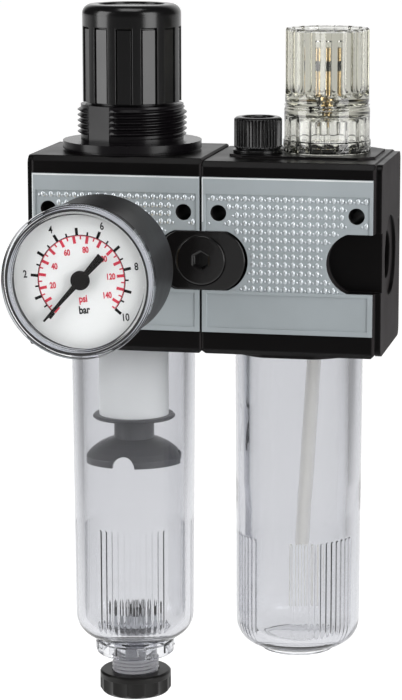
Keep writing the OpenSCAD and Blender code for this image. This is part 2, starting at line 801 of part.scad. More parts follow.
module lubricator_body() {
    drip_link_z = passage_r + 2.6;
    fill_z = top_h - plug_shank_len;
    color(black) difference() {
        union() {
            block_blank(split_x, oil_top, -1);
            end_plate(right_x - end_plate_t, oil_top);
            platform();
            intersection() {
                rod_z(lub_x, axis_back, -bottom_h - socket_ring_h, socket_ring_r, socket_ring_h + 1);
                translate([split_x, bevel - front_d, -bottom_h - socket_ring_h])
                    cube([block_w, block_d - bevel, socket_ring_h + 1]);
            }
        }
        port_cut(right_x, 1);
        end_slots(right_x, 1);
        mount_holes(split_x);
        side_pockets(split_x, -front_d - cut, pocket_depth + cut);
        // main air way and the groove of the interface seal
        rod_x(split_x - cut, 0, 0, passage_r, right_x - split_x - port_depth);
        translate([split_x - cut, 0, 0]) rotate([0, 90, 0])
            ring_z(0, 0, 0, interface_seal_mean + 0.9, interface_seal_mean - 0.9, cut + 2 * interface_seal_r);
        // bowl socket
        rod_z(lub_x, axis_back, -bottom_h - socket_ring_h - cut, oil_wall_r, oil_socket_depth + socket_ring_h + cut);
        // siphon tube seat, ball chamber and riser
        siphon_rod(siphon_r + fit, siphon_insert, cut);
        rod_z(ball_x, siphon_y, ball_room_z, ball_r + 0.3, ball_room_h);
        rod_z(ball_x, siphon_y, ball_room_z + ball_room_h - 1, channel_r, top_h - ball_room_z);
        // sight dome recess and drip channel into the main air way
        rod_z(dome_x, dome_dy, top_h - dome_recess, dome_spigot_r + fit, dome_recess + cut);
        rod_z(dome_x, dome_dy, drip_link_z, channel_r, top_h - drip_link_z);
        rod_y(dome_x, 0, drip_link_z, channel_r, dome_dy);
        rod_z(dome_x, 0, 0, channel_r, drip_link_z + channel_r);
        // filler bore, its seal seat and the fill channel into the bowl
        rod_z(plug_x, plug_y, top_h - plug_shank_len - 1.6, plug_shank_r + fit, plug_shank_len + 1.6 + cut);
        rod_z(plug_x, plug_y, top_h - plug_seat_depth, plug_seal_mean + plug_seal_r + 0.1, plug_seat_depth + cut);
        translate([plug_x, plug_y, 0]) rotate(fill_angle) {
            rod_x(0, 0, fill_z, fill_r, fill_len);
            rod_z(fill_len, 0, oil_socket_z - cut, fill_r, fill_z - oil_socket_z + cut);
        }
    }
}

// Raised platform with cut corners under filler plug and sight dome
module platform() {
    w = block_w - platform_inner - platform_outer;
    y0 = platform_front - front_d;
    y1 = back_d - platform_back;
    c = platform_cut;
    translate([split_x + platform_inner, 0, oil_top - 1]) linear_extrude(platform_h + 1) polygon([
        [c, y0], [w - c, y0], [w, y0 + c], [w, y1 - c],
        [w - c, y1], [c, y1], [0, y1 - c], [0, y0 + c]
    ]);
}

// ---- Faceplates and coupling ----

module faceplate(x0) {
    w = block_w - 2 * plate_margin;
    y0 = -front_d - plate_t;
    label_z = plate_bottom + label_rim;
    field_z = label_z + label_h + rim_w;
    field_top = plate_top - band_h;
    difference() {
        translate([x0 + plate_margin, y0, plate_bottom]) cube([w, plate_t, plate_h]);
        translate([x0 + plate_margin + rim_w, y0 - cut, field_z])
            cube([w - 2 * rim_w, field_t + cut, field_top - field_z]);
        translate([x0 + plate_margin + label_rim, y0 - cut, label_z])
            cube([w - 2 * label_rim, field_t + cut, label_h]);
        side_pockets(x0, y0 - cut, plate_t + 2 * cut);
        mount_holes(x0);
    }
}

module regulator_faceplate() {
    color(silver) difference() {
        faceplate(block_x);
        rod_y(reg_x, -front_d - plate_t - cut, 0, stem_hex / 2 + 1, plate_t + 2 * cut);
    }
}

module lubricator_faceplate() {
    color(silver) faceplate(split_x);
}

module coupling_key() {
    back = pocket_depth - front_d - key_gap;
    front = -front_d - key_proud;
    color(black) difference() {
        upright(split_x, front, 0, back - front)
            slot_outline(pocket_len - key_end_gap, pocket_r - key_gap, pocket_h - 2 * key_gap);
        rod_y(split_x, front - cut, 0, lock_r + face_gap, lock_depth + cut);
    }
}

module coupling_lock() {
    front = -front_d - key_proud - lock_proud;
    color(black) difference() {
        rod_y(split_x, front, 0, lock_r, lock_depth + lock_proud - face_gap);
        translate([split_x, front - cut, 0]) rotate([-90, 30, 0])
            cylinder(d = socket_corners, h = 2 + cut, $fn = 6);
    }
}

module interface_o_ring() {
    color(rubber) translate([split_x + interface_seal_r, 0, 0]) rotate([0, 90, 0])
        o_ring(0, 0, 0, interface_seal_mean, interface_seal_r - seal_play);
}

// ---- Bonnet, knob, setting screw and spring ----

module regulator_bonnet() {
    color(black) translate([reg_x, axis_back, 0]) difference() {
        union() {
            translate([0, 0, rim_z + diaphragm_t]) cylinder(r = spigot_r, h = diaphragm_depth - diaphragm_t);
            translate([0, 0, top_h]) cylinder(r = base_ring_r, h = base_ring_h);
            translate([0, 0, flange_z]) cylinder(r = flange_r, h = flange_h);
            translate([0, 0, neck_z]) cylinder(r = neck_r, h = neck_h);
            translate([0, 0, neck_top]) cylinder(r = tower_r, h = tower_h);
        }
        translate([0, 0, rim_z]) cylinder(r = neck_chamber_r, h = neck_roof - rim_z);
        cylinder(r = spring_chamber_r, h = tower_top - cap_t);
        cylinder(r = screw_r + fit, h = tower_top + cut);
        // keyways that stop the spring nut from turning
        translate([0, 0, neck_roof / 2 + tower_top / 2 - cap_t]) cube(
            [2 * (nut_key_r + key_clear), nut_key_w + 2 * key_clear, tower_top - neck_roof - 2 * cap_t],
            center = true);
        for (a = [0, 180]) rotate(flat_angle + a)
            translate([neck_flat, -neck_r, neck_z]) cube([neck_r, 2 * neck_r, neck_h + cut]);
    }
}

// Profile of the knob's outside, drawn at the right of the axis
module knob_profile() {
    square([knob_r - knob_round, knob_h]);
    square([knob_r, knob_h - knob_round]);
    translate([knob_r - knob_round, knob_h - knob_round]) circle(knob_round);
}

module regulator_knob() {
    in_r = knob_r - knob_wall;
    color(black) translate([reg_x, axis_back, knob_z]) difference() {
        rotate_extrude() knob_profile();
        for (i = [0 : panel_count - 1]) rotate(panel_turn + 360 * i / panel_count)
            translate([knob_r - panel_depth, -panel_w / 2, -cut])
            cube([knob_wall, panel_w, knob_h - knob_cap_h + cut]);
        difference() {
            translate([0, 0, -cut]) cylinder(r = in_r, h = knob_roof - knob_z + cut);
            translate([0, 0, boss_z - knob_z]) cylinder(r = boss_r, h = knob_h);
        }
        // hexagonal socket over the setting screw's head
        translate([0, 0, -cut]) cylinder(r = screw_head_r + 0.12, h = screw_head_top - knob_z + 0.9 + cut, $fn = 6);
        translate([0, 0, knob_h - thumb_t]) cylinder(r = thumb_r, h = thumb_t + cut);
    }
}

module setting_screw() {
    color(steel) translate([reg_x, axis_back, 0]) {
        translate([0, 0, screw_bottom]) cylinder(r = screw_r, h = tower_top + 0.1 - screw_bottom);
        translate([0, 0, collar_z]) cylinder(r = collar_r, h = collar_h);
        translate([0, 0, tower_top]) cylinder(r = screw_head_r, h = screw_head_top - tower_top, $fn = 6);
    }
}

module spring_nut() {
    color(steel) translate([reg_x, axis_back, nut_z]) difference() {
        union() {
            cylinder(r = nut_r, h = nut_h);
            translate([-nut_key_r, -nut_key_w / 2, 0]) cube([2 * nut_key_r, nut_key_w, nut_h]);
        }
        translate([0, 0, -cut]) cylinder(r = screw_r + fit, h = nut_h + 2 * cut);
    }
}

module setting_spring() {
    color(steel) translate([reg_x, axis_back, 0])
        coil(disc_top + face_gap, nut_z - face_gap, spring_r, spring_wire, spring_turns, 16, 8);
}

// ---- Diaphragm and valve ----

module diaphragm() {
    bend_r = plate_r + 0.6;
    foot_in = chamber_r - 0.4;
    color(rubber) translate([reg_x, axis_back, 0]) rotate_extrude() polygon([
        [hub_r + fit, crown_z], [bend_r, crown_z], [foot_in, rim_z], [spigot_r - fit, rim_z],
        [spigot_r - fit, rim_z + diaphragm_t], [foot_in + 0.2, rim_z + diaphragm_t],
        [bend_r + 0.2, disc_z], [hub_r + fit, disc_z]
    ]);
}

module diaphragm_plate() {
    color(steel) translate([reg_x, axis_back, disc_z]) difference() {
        cylinder(r = plate_r, h = plate_disc_t);
        translate([0, 0, -cut]) cylinder(r = 1, h = plate_disc_t + 2 * cut);
    }
}

module relief_seat() {
    color(brass) translate([reg_x, axis_back, relief_z]) difference() {
        union() {
            cylinder(r = relief_r, h = relief_t - face_gap);
            cylinder(r = hub_r, h = disc_z - relief_z);
        }
        translate([0, 0, relief_t]) cylinder(r = 1, h = disc_z - relief_z);
    }
}

module valve_seat() {
    color(brass) ring_z(reg_x, axis_back, seat_z, valve_bore_r - fit, seat_hole_r, seat_t);
}

module valve_poppet() {
    color(brass) translate([reg_x, axis_back, 0]) {
        translate([0, 0, stem_low]) cylinder(r = stem_r, h = relief_z - face_gap - stem_low);
        translate([0, 0, poppet_z]) cylinder(r = poppet_r, h = poppet_t);
    }
}

module valve_spring() {
    color(steel) translate([reg_x, axis_back, 0])
        coil(carrier_floor + face_gap, poppet_z - face_gap, valve_spring_r, valve_spring_wire,
            valve_spring_turns, 12, 6);
}

module valve_carrier() {
    color(black) translate([reg_x, axis_back, 0]) difference() {
        union() {
            translate([0, 0, socket_z - 0.1])
                cylinder(r = valve_bore_r - fit, h = carrier_top - socket_z + 0.1);
            translate([0, 0, carrier_bottom])
                cylinder(r = element_r, h = carrier_flange_t - face_gap);
            translate([0, 0, rod_bottom]) cylinder(r = rod_r, h = carrier_bottom - rod_bottom + 0.1);
        }
        translate([0, 0, carrier_floor]) cylinder(r = carrier_pocket_r, h = -carrier_floor);
        translate([0, 0, guide_bottom]) cylinder(r = stem_r + fit, h = carrier_floor - guide_bottom + cut);
        for (a = [0 : 60 : 300]) rotate(a)
            rod_z(carrier_pocket_r + 0.9, 0, carrier_bottom - cut, 0.7, carrier_top - carrier_bottom + 2 * cut);
    }
}

// ---- Filter ----

module filter_element() {
    color(white) ring_z(reg_x, axis_back, element_z, element_r, element_r - element_wall, element_len);
}

module element_retainer() {
    edge = 0.4;
    bore = rod_r + fit;
    color(black) translate([reg_x, axis_back, 0]) rotate_extrude() polygon([
        [bore, neck_low], [retainer_neck_r, neck_low], [retainer_neck_r, retainer_z],
        [retainer_r - edge, retainer_z], [retainer_r, retainer_z + edge],
        [retainer_r, element_z - edge], [retainer_r - edge, element_z], [bore, element_z]
    ]);
}

module umbrella_baffle() {
    bore = rod_r + fit;
    hub = retainer_neck_r - 1;
    color(black) translate([reg_x, axis_back, 0]) difference() {
        rotate_extrude() polygon([
            [bore, neck_low], [retainer_neck_r, neck_low],
            for (s = baffle_bulge) [
                retainer_neck_r + s[0] * (baffle_r - retainer_neck_r), neck_low - s[1] * baffle_drop
            ],
            [baffle_r, rim_low], [baffle_r, skirt_z],
            [baffle_r - baffle_wall, skirt_z], [baffle_r - baffle_wall, rim_low - baffle_wall / 2],
            [hub, neck_low - baffle_wall - 0.6], [hub, neck_low - 2.6], [bore, neck_low - 2.6]
        ]);
        for (a = [0 : 90 : 270]) rotate(a) translate([0, -baffle_r - cut, 0]) {
            translate([-baffle_notch_w / 2, 0, skirt_z - cut])
                cube([baffle_notch_w, 4 + cut, baffle_skirt + cut - 1.2]);
            rod_y(0, 0, rim_low - 1.7, baffle_notch_w / 2, 4 + cut);
        }
    }
}

// ---- Filter bowl and drain ----

// Half outline of a bowl: straight tapered wall and a round bottom edge
module bowl_outline(top_r, low_r, top_z, bottom_z, round_r) {
    polygon([
        [0, bottom_z], [low_r - round_r, bottom_z], [low_r, bottom_z + round_r],
        [top_r, top_z], [0, top_z]
    ]);
    translate([low_r - round_r, bottom_z + round_r]) intersection() {
        circle(round_r);
        translate([-round_r / 2, -round_r]) square([2 * round_r, round_r]);
    }
}

// Ribs along the inside of a bowl, sunk a little into its wall
module bowl_ribs(wall_r, z0, z1) {
    sink = 0.5;
    for (i = [0 : rib_count - 1]) rotate(360 * (i + 0.5) / rib_count)
        translate([wall_r - rib_h, -rib_w / 2, z0]) cube([rib_h + sink, rib_w, z1 - z0]);
}

// Groove in the rim of a bowl for its O-ring
module rim_groove(mean_r, top_z) {
    ring_z(0, 0, top_z - bowl_seal_groove, mean_r + bowl_seal_r + seal_play,
        mean_r - bowl_seal_r - seal_play, bowl_seal_groove + cut);
}

module filter_bowl() {
    top_z = socket_z - rim_gap;
    mean_r = (bowl_r + bowl_in_r) / 2;
    in_round = bowl_round - 2.5;
    color(clear) translate([reg_x, axis_back, 0]) difference() {
        union() {
            difference() {
                rotate_extrude() bowl_outline(bowl_r, bowl_low_r, top_z, -bowl_bottom, bowl_round);
                rotate_extrude() bowl_outline(bowl_in_r, bowl_in_r, top_z + cut, bowl_floor, in_round);
            }
            bowl_ribs(bowl_in_r, bowl_floor + in_round, -rib_top);
            translate([0, 0, collar_bottom]) cylinder(r = bowl_collar_r, h = bowl_collar_h + 1);
            for (i = [0 : pad_count - 1]) rotate(360 * (i + 0.5) / pad_count - 90)
                translate([bowl_collar_r - 1, -pad_w / 2, collar_bottom + (bowl_collar_h - pad_h) / 2])
                cube([1 + pad_t, pad_w, pad_h]);
            translate([0, 0, stem_bottom]) cylinder(r = drain_stem_r, h = drain_stem_len + 1);
        }
        rim_groove(mean_r, top_z);
        translate([0, 0, stem_bottom - cut]) cylinder(r = drain_hole_r, h = bowl_floor - stem_bottom + 2 * cut);
    }
}

module filter_bowl_o_ring() {
    color(rubber) o_ring(reg_x, axis_back, socket_z - bowl_seal_r - seal_play,
        (bowl_r + bowl_in_r) / 2, bowl_seal_r);
}

module drain_plunger() {
    tail = drain_knob_floor + face_gap;
    head_z = plunger_z + plunger_body_h;
    color(black) translate([reg_x, axis_back, 0]) difference() {
        union() {
            translate([0, 0, tail]) cylinder(r = plunger_r, h = plunger_z - tail + 0.1);
            translate([0, 0, plunger_z]) cylinder(r = plunger_body_r, h = plunger_body_h + 1);
            translate([0, 0, head_z]) cylinder(r = plunger_head_r, h = plunger_head_h);
        }
        translate([0, 0, plunger_z + 1.4]) cylinder(r = plunger_body_r - 1.2, h = plunger_body_h + plunger_head_h);
        for (i = [0 : plunger_slots - 1]) rotate(360 * (i + 0.5) / plunger_slots)
            translate([0, -plunger_slot_w / 2, plunger_z + 1.4])
            cube([plunger_head_r + 1, plunger_slot_w, plunger_body_h - 1.4]);
        translate([0, 0, tail - cut]) cylinder(r = drain_way_r, h = bowl_floor - tail - 2 + cut);
        rod_x(-plunger_r - cut, 0, bowl_floor - 2.6, 1, 2 * (plunger_r + cut));
    }
}

module drain_o_ring() {
    color(rubber) o_ring(reg_x, axis_back, bowl_floor + drain_seal_r + face_gap / 2,
        drain_seal_mean, drain_seal_r);
}

module drain_knob() {
    edge = 0.5;
    foot_edge = 0.9;
    color(black) translate([reg_x, axis_back, 0]) difference() {
        rotate_extrude() polygon([
            [0, drain_bottom], [drain_knob_r - foot_edge, drain_bottom], [drain_knob_r, drain_bottom + foot_edge],
            [drain_knob_r, drain_top - edge], [drain_knob_r - edge, drain_top], [0, drain_top]
        ]);
        flutes(drain_knob_r, drain_flutes, drain_flute_depth, drain_bottom - cut, drain_knob_h - drain_rim_h);
        translate([0, 0, drain_knob_floor]) cylinder(r = drain_bore_r, h = drain_knob_h + 2);
        translate([0, 0, drain_bottom - cut]) cylinder(r = drain_way_r + 0.6, h = drain_knob_h);
    }
}

// ---- Gauge ----

// Turns a shape made about Z so that it is about Y, with its top towards the front
module facing_front(y) {
    translate([reg_x, y, 0]) rotate([90, 0, 0]) children();
}

module gauge_case() {
    ledge_r = dial_r - 1.4;
    dial_back = case_back - dial_y - dial_t;
    color(black) facing_front(case_back) difference() {
        cylinder(r = case_r, h = case_back - case_front);
        translate([0, 0, case_wall]) cylinder(r = ledge_r, h = gauge_depth);
        translate([0, 0, dial_back - face_gap]) cylinder(r = dial_r + fit, h = gauge_depth);
        translate([0, 0, -cut]) cylinder(r = stem_neck_r + fit, h = case_wall + 2 * cut);
    }
}

// Clear window: the pane and the rim that grips the case are one moulding
module gauge_window() {
    lap_r = case_r + fit;
    lap_z = window_y - case_front + face_gap;
    color(clear) facing_front(window_y) rotate_extrude() polygon([
        [0, -pane_in], [rim_in_r, -pane_in], [rim_in_r, -rim_edge], [rim_in_r + rim_edge, 0],
        [rim_groove_r - rim_edge, 0], [rim_groove_r, -rim_edge], [rim_groove_r + rim_edge, 0],
        [window_r - rim_edge, 0], [window_r, -rim_edge], [window_r, -window_rim_depth],
        [lap_r, -window_rim_depth], [lap_r, lap_z], [rim_in_r, lap_z],
        [rim_in_r, -pane_in - pane_t], [0, -pane_in - pane_t]
    ]);
}

module gauge_dial() {
    color(white) facing_front(dial_y + dial_t)
        ring_z(0, 0, 0, dial_r, arbor_r + 0.4, dial_t);
}

module gauge_pointer() {
    tail_len = 8.4;
    color(black) translate([reg_x, pointer_y, 0]) rotate([90, 0, 0]) {
        rotate(pointer_angle) linear_extrude(pointer_t) {
            polygon([[0, 0.8], [pointer_len, 0.26], [pointer_len, -0.26], [0, -0.8]]);
            polygon([[0, 0.6], [-tail_len, 1.1], [-tail_len, -1.1], [0, -0.6]]);
            circle(pointer_hub_r);
        }
        translate([0, 0, pointer_y - movement_y]) cylinder(r = arbor_r, h = movement_y - pointer_y + 0.1);
    }
}

module gauge_stem() {
    inner = case_back - stem_inner;
    hex_back = case_back + stem_neck_len + stem_hex_len;
    color(brass) difference() {
        union() {
            facing_front(hex_back) cylinder(d = stem_hex, h = stem_hex_len, $fn = 6);
            rod_y(reg_x, inner, 0, stem_neck_r, stem_end - inner);
            rod_y(reg_x, hex_back - 1, 0, port_r - fit, stem_end - hex_back + 1);
        }
        rod_y(reg_x, inner + 2, 0, channel_r, stem_end - inner);
    }
}

module bourdon_tube() {
    color(brass) {
        translate([reg_x, bourdon_y, 0]) rotate([90, 0, 0]) rotate(-60) rotate_extrude(angle = 250)
            translate([bourdon_r, 0]) circle(bourdon_tube_r);
        translate([reg_x, bourdon_y, 0]) rotate([0, 150, 0])
            cylinder(r = bourdon_tube_r, h = bourdon_r);
    }
}

module gauge_movement() {
    post_len = movement_y - dial_y - dial_t - face_gap;
    color(brass) difference() {
        facing_front(movement_y) {
            cylinder(r = movement_r, h = movement_t);
            for (a = [45 : 90 : 315]) rotate(a)
                translate([movement_r - 2 * post_r, 0, 0]) cylinder(r = post_r, h = post_len);
            translate([0, 0, movement_t + movement_gap]) cylinder(r = movement_r, h = movement_t);
        }
        rod_y(reg_x, dial_y, 0, arbor_r + fit, gauge_depth);
    }
}

module rear_port_plug() {
    color(black) difference() {
        rod_y(reg_x, back_d - gauge_port_depth + 0.6, 0, port_r - fit, gauge_port_depth - 1);
        translate([reg_x, back_d - 5, 0]) rotate([-90, 30, 0])
            cylinder(d = socket_corners + 2, h = 6, $fn = 6);
    }
}

// ---- Lubricator bowl and oil way ----

module lubricator_bowl() {
    top_z = oil_socket_z - rim_gap;
    mean_r = (oil_bowl_r + oil_in_r) / 2;
    out_round = bowl_round;
    in_round = bowl_round - 2.8;
    color(clear) translate([lub_x, axis_back, 0]) difference() {
        union() {
            difference() {
                rotate_extrude() bowl_outline(oil_bowl_r, oil_bowl_low_r, top_z, -oil_bottom, out_round);
                rotate_extrude() bowl_outline(oil_in_low_r, oil_in_low_r, -oil_step + 0.1, oil_floor, in_round);
                translate([0, 0, -oil_step]) cylinder(r = oil_in_r, h = oil_step);
            }
            bowl_ribs(oil_in_low_r, oil_floor + in_round, -rib_top - 1.1);
            ring_z(0, 0, -oil_bottom - foot_h, foot_r, foot_r - 1.6, foot_h + 1);
        }
        rim_groove(mean_r, top_z);
    }
}

module lubricator_bowl_o_ring() {
    color(rubber) o_ring(lub_x, axis_back, oil_socket_z - bowl_seal_r - seal_play,
        (oil_bowl_r + oil_in_r) / 2, bowl_seal_r);
}

// A rod along the siphon tube's line, from up above the bowl's rim to down below it
module siphon_rod(r, up, down) {
    translate([siphon_x, siphon_y, oil_socket_z]) rotate([0, siphon_tilt, 0])
        translate([0, 0, -down]) cylinder(r = r, h = up + down);
}

module siphon_tube() {
    color([0.9, 0.92, 0.9, 0.7]) difference() {
        siphon_rod(siphon_r, siphon_end, siphon_len);
        siphon_rod(siphon_bore_r, siphon_insert, siphon_len + 1);
    }
}

module check_ball() {
    color(steel) translate([ball_x, siphon_y, ball_z]) sphere(ball_r);
}

module venturi_insert() {
    ends = passage_r - 1;
    color(brass) difference() {
        translate([dome_x - venturi_len + 5, 0, 0]) rotate([0, 90, 0]) rotate_extrude() polygon([
            [ends, 0], [venturi_r, 0], [venturi_r, venturi_len], [ends, venturi_len],
            [throat_r, venturi_len - throat_out], [throat_r, throat_in]
        ]);
        rod_z(dome_x, 0, 0, channel_r, passage_r + 1);
    }
}

// ---- Sight dome and metering ----

module sight_dome() {
    spigot_z = top_h - dome_recess + 2 * dome_seal_r + face_gap;
    color(amber) translate([dome_x, dome_dy, 0]) {
        difference() {
            union() {
                translate([0, 0, spigot_z]) cylinder(r = dome_spigot_r, h = dome_z - spigot_z + 0.1);
                translate([0, 0, dome_z]) cylinder(r = dome_collar_r, h = dome_collar_h);
                translate([0, 0, dome_z]) cylinder(r = dome_r, h = dome_h);
            }
            translate([0, 0, spigot_z - cut]) cylinder(r = dome_in_r, h = dome_floor - spigot_z + cut);
            translate([0, 0, meter_spigot_z - 0.3]) cylinder(r = meter_spigot_r + fit, h = dome_top_t + cut);
            cylinder(r = drip_r + 0.35, h = dome_top);
        }
        // clear nozzle round the drip tube's tip
        rotate_extrude() polygon([
            [drip_r + fit, dome_floor + 0.1], [2.1, dome_floor + 0.1],
            [drip_r + 0.8, dome_floor - nozzle_len], [drip_r + fit, dome_floor - nozzle_len]
        ]);
    }
}

module dome_o_ring() {
    color(rubber) o_ring(dome_x, dome_dy, top_h - dome_recess + dome_seal_r + face_gap / 2,
        dome_spigot_r - dome_seal_r - 0.1, dome_seal_r);
}

module metering_knob() {
    color(amber) translate([dome_x, dome_dy, 0]) difference() {
        union() {
            translate([0, 0, meter_z]) cylinder(r = meter_r, h = meter_h);
            translate([0, 0, meter_spigot_z]) cylinder(r = meter_spigot_r, h = meter_z - meter_spigot_z + 0.1);
        }
        flutes(meter_r, meter_flutes, flute_depth, meter_z + flute_foot, meter_h);
        translate([0, 0, meter_spigot_z - cut])
            cylinder(r = meter_bore_r, h = needle_z + needle_len + 2 - meter_spigot_z + cut);
        translate([0, 0, meter_top - meter_recess_t]) cylinder(r = meter_recess_r, h = meter_recess_t + cut);
    }
}

module metering_needle() {
    color(brass) translate([dome_x, dome_dy, 0]) difference() {
        union() {
            translate([0, 0, needle_z]) cylinder(r = needle_r, h = needle_len);
            translate([0, 0, needle_z - needle_point_len]) cylinder(r = needle_point_r, h = needle_point_len + 1);
        }
        ring_z(0, 0, seal_z, needle_r + cut, seal_in_r, seal_h);
    }
}

module needle_seal() {
    color(rubber) ring_z(dome_x, dome_dy, seal_z + seal_play, needle_r + face_gap, seal_in_r + seal_play,
        seal_h - 2 * seal_play);
}

module drip_tube() {
    bore = needle_point_r + 0.12;
    color(brass) translate([dome_x, dome_dy, 0]) rotate_extrude() polygon([
        [bore, drip_bottom], [drip_r, drip_bottom], [drip_r, dome_floor + 0.2],
        [drip_r + 0.25, dome_floor + 0.2], [drip_r + 0.25, meter_spigot_z - 0.3],
        [drip_r + 0.6, meter_spigot_z - 0.3], [drip_r + 0.6, drip_top], [bore, drip_top]
    ]);
}

// ---- Filler plug ----

module filler_plug() {
    edge = 0.7;
    dish_r = 4.2;
    dish_t = 1;
    head_z = plug_head_z + plug_ring_h;
    head_top = head_z + plug_h;
    color(black) translate([plug_x, plug_y, 0]) difference() {
        union() {
            translate([0, 0, top_h - plug_shank_len]) cylinder(r = plug_shank_r, h = plug_shank_len + 1);
            rotate_extrude() polygon([
                [0, plug_head_z], [plug_ring_r, plug_head_z], [plug_ring_r, head_z - 0.4],
                [plug_r - 0.4, head_z], [plug_r, head_z + 0.4], [plug_r, head_top - edge],
                [plug_r - edge, head_top], [0, head_top]
            ]);
        }
        for (i = [0 : plug_grooves - 1]) rotate(360 * i / plug_grooves)
            rod_z(plug_r, 0, head_z + 0.5, groove_r, plug_h - edge - 0.3);
        translate([0, 0, head_top - dish_t]) cylinder(r = dish_r, h = dish_t + cut);
    }
}

module filler_plug_o_ring() {
    color(rubber) o_ring(plug_x, plug_y, top_h - plug_seal_r, plug_seal_mean, plug_seal_r - seal_play);
}

filter_regulator_body();
lubricator_body();
regulator_faceplate();
lubricator_faceplate();
coupling_key();
coupling_lock();
interface_o_ring();
regulator_bonnet();
regulator_knob();
setting_screw();
spring_nut();
setting_spring();
diaphragm();
diaphragm_plate();
relief_seat();
valve_seat();
valve_poppet();
valve_spring();
valve_carrier();
filter_element();
element_retainer();
umbrella_baffle();
filter_bowl();
filter_bowl_o_ring();
drain_plunger();
drain_o_ring();
drain_knob();
gauge_case();
gauge_window();
gauge_dial();
gauge_pointer();
gauge_stem();
bourdon_tube();
gauge_movement();
rear_port_plug();
lubricator_bowl();
lubricator_bowl_o_ring();
siphon_tube();
check_ball();
venturi_insert();
sight_dome();
dome_o_ring();
metering_knob();
metering_needle();
needle_seal();
drip_tube();
filler_plug();
filler_plug_o_ring();
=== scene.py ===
"""Looks of the filter regulator lubricator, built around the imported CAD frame.

Lengths are in mm until a mesh is made. The lights, the camera's clipping and the floor are in metres.
"""
import json
import math

import bmesh
import bpy
from mathutils import Matrix, Vector


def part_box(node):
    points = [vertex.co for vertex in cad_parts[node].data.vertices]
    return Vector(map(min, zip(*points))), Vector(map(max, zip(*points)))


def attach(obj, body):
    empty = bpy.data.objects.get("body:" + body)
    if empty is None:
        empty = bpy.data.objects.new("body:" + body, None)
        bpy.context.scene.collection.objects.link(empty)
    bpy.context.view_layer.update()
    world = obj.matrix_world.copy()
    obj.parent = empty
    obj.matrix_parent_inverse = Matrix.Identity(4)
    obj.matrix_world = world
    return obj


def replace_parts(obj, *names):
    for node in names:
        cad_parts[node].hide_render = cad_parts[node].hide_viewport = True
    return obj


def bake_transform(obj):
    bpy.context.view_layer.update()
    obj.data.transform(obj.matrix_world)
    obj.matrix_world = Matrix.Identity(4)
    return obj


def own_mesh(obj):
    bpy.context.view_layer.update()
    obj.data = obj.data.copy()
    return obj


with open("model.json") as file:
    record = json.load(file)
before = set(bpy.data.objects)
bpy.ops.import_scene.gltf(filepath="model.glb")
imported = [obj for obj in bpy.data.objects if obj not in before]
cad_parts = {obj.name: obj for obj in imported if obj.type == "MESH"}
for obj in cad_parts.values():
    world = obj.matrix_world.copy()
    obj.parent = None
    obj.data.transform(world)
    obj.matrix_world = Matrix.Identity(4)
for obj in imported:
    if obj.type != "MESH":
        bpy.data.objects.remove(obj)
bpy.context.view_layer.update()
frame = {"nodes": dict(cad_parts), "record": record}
nodes = frame["nodes"]
MM = 0.001
TURN = 2 * math.pi

# ---- Places in the frame, in mm, read from the CAD nodes' boxes ----


def box_mm(node):
    low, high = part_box(node)
    return Vector(low) / MM, Vector(high) / MM


def centre_mm(node):
    low, high = box_mm(node)
    return (low + high) / 2


def heights_mm(node):
    """The node's lowest and highest z."""
    low, high = box_mm(node)
    return low.z, high.z


def radius_mm(node):
    """Half the node's width."""
    low, high = box_mm(node)
    return (high.x - low.x) / 2


def metres(x, y, z):
    return x * MM, y * MM, z * MM


REG = centre_mm("filter_bowl")
DOME = centre_mm("sight_dome")
PLUG = centre_mm("filler_plug")
GAUGE = centre_mm("gauge_dial")
KNOB = centre_mm("regulator_knob")

# ---- Mesh helpers ----

SAME_POINT = 1e-7  # metres
COIL_STEPS = 24
THREAD_HALF = 0.46  # half the width of the ridge's foot, as a share of the pitch
THREAD_LEAD = 0.35  # turns over which the ridge grows and fades
THREAD_SINK = 0.05


def mesh_object(name, verts, faces, material, body, smooth=None, recalc=True):
    """A mesh from vertices in mm. Edges sharper than smooth degrees stay sharp."""
    mesh = bpy.data.meshes.new(name)
    mesh.from_pydata([metres(*v) for v in verts], [], faces)
    if recalc:
        bm = bmesh.new()
        bm.from_mesh(mesh)
        bmesh.ops.remove_doubles(bm, verts=bm.verts, dist=SAME_POINT)
        bmesh.ops.recalc_face_normals(bm, faces=bm.faces)
        bm.to_mesh(mesh)
        bm.free()
    if smooth is not None:
        mesh.shade_smooth()
        mesh.set_sharp_from_angle(angle=math.radians(smooth))
    obj = bpy.data.objects.new(name, mesh)
    bpy.context.scene.collection.objects.link(obj)
    mesh.materials.append(material)
    if body:
        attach(obj, body)
    return obj


def band(a, b, count, flip=False):
    """Quads between two loops of count vertices that start at a and b; flip turns them over."""
    quads = []
    for k in range(count):
        n = (k + 1) % count
        quads.append((a + k, a + n, b + n, b + k) if flip else (a + k, b + k, b + n, a + n))
    return quads


def lathe(name, centre, profile, steps, material, body, mod=None, smooth=35):
    """A closed profile of (r, z) turned about a vertical axis; mod(r, z, angle, k) may move the radius. steps is a
    number of equal steps or a list of angles."""
    verts, faces = [], []
    count = len(profile)
    angles = [TURN * i / steps for i in range(steps)] if isinstance(steps, int) else steps
    for a in angles:
        for k, (r, z) in enumerate(profile):
            if mod:
                r = mod(r, z, a, k)
            verts.append((centre[0] + r * math.cos(a), centre[1] + r * math.sin(a), z))
    off_axis = [max(r, profile[(k + 1) % count][0]) > 0 for k, (r, z) in enumerate(profile)]
    for i in range(len(angles)):
        quads = band(i * count, (i + 1) % len(angles) * count, count)
        faces += [quad for quad, kept in zip(quads, off_axis) if kept]
    return mesh_object(name, verts, faces, material, body, smooth)


def arc(cx, cz, r, a0, a1, count):
    """Points on a circle in the (r, z) plane, angles in degrees."""
    angles = [math.radians(a0 + (a1 - a0) * i / count) for i in range(count + 1)]
    return [(cx + r * math.cos(a), cz + r * math.sin(a)) for a in angles]


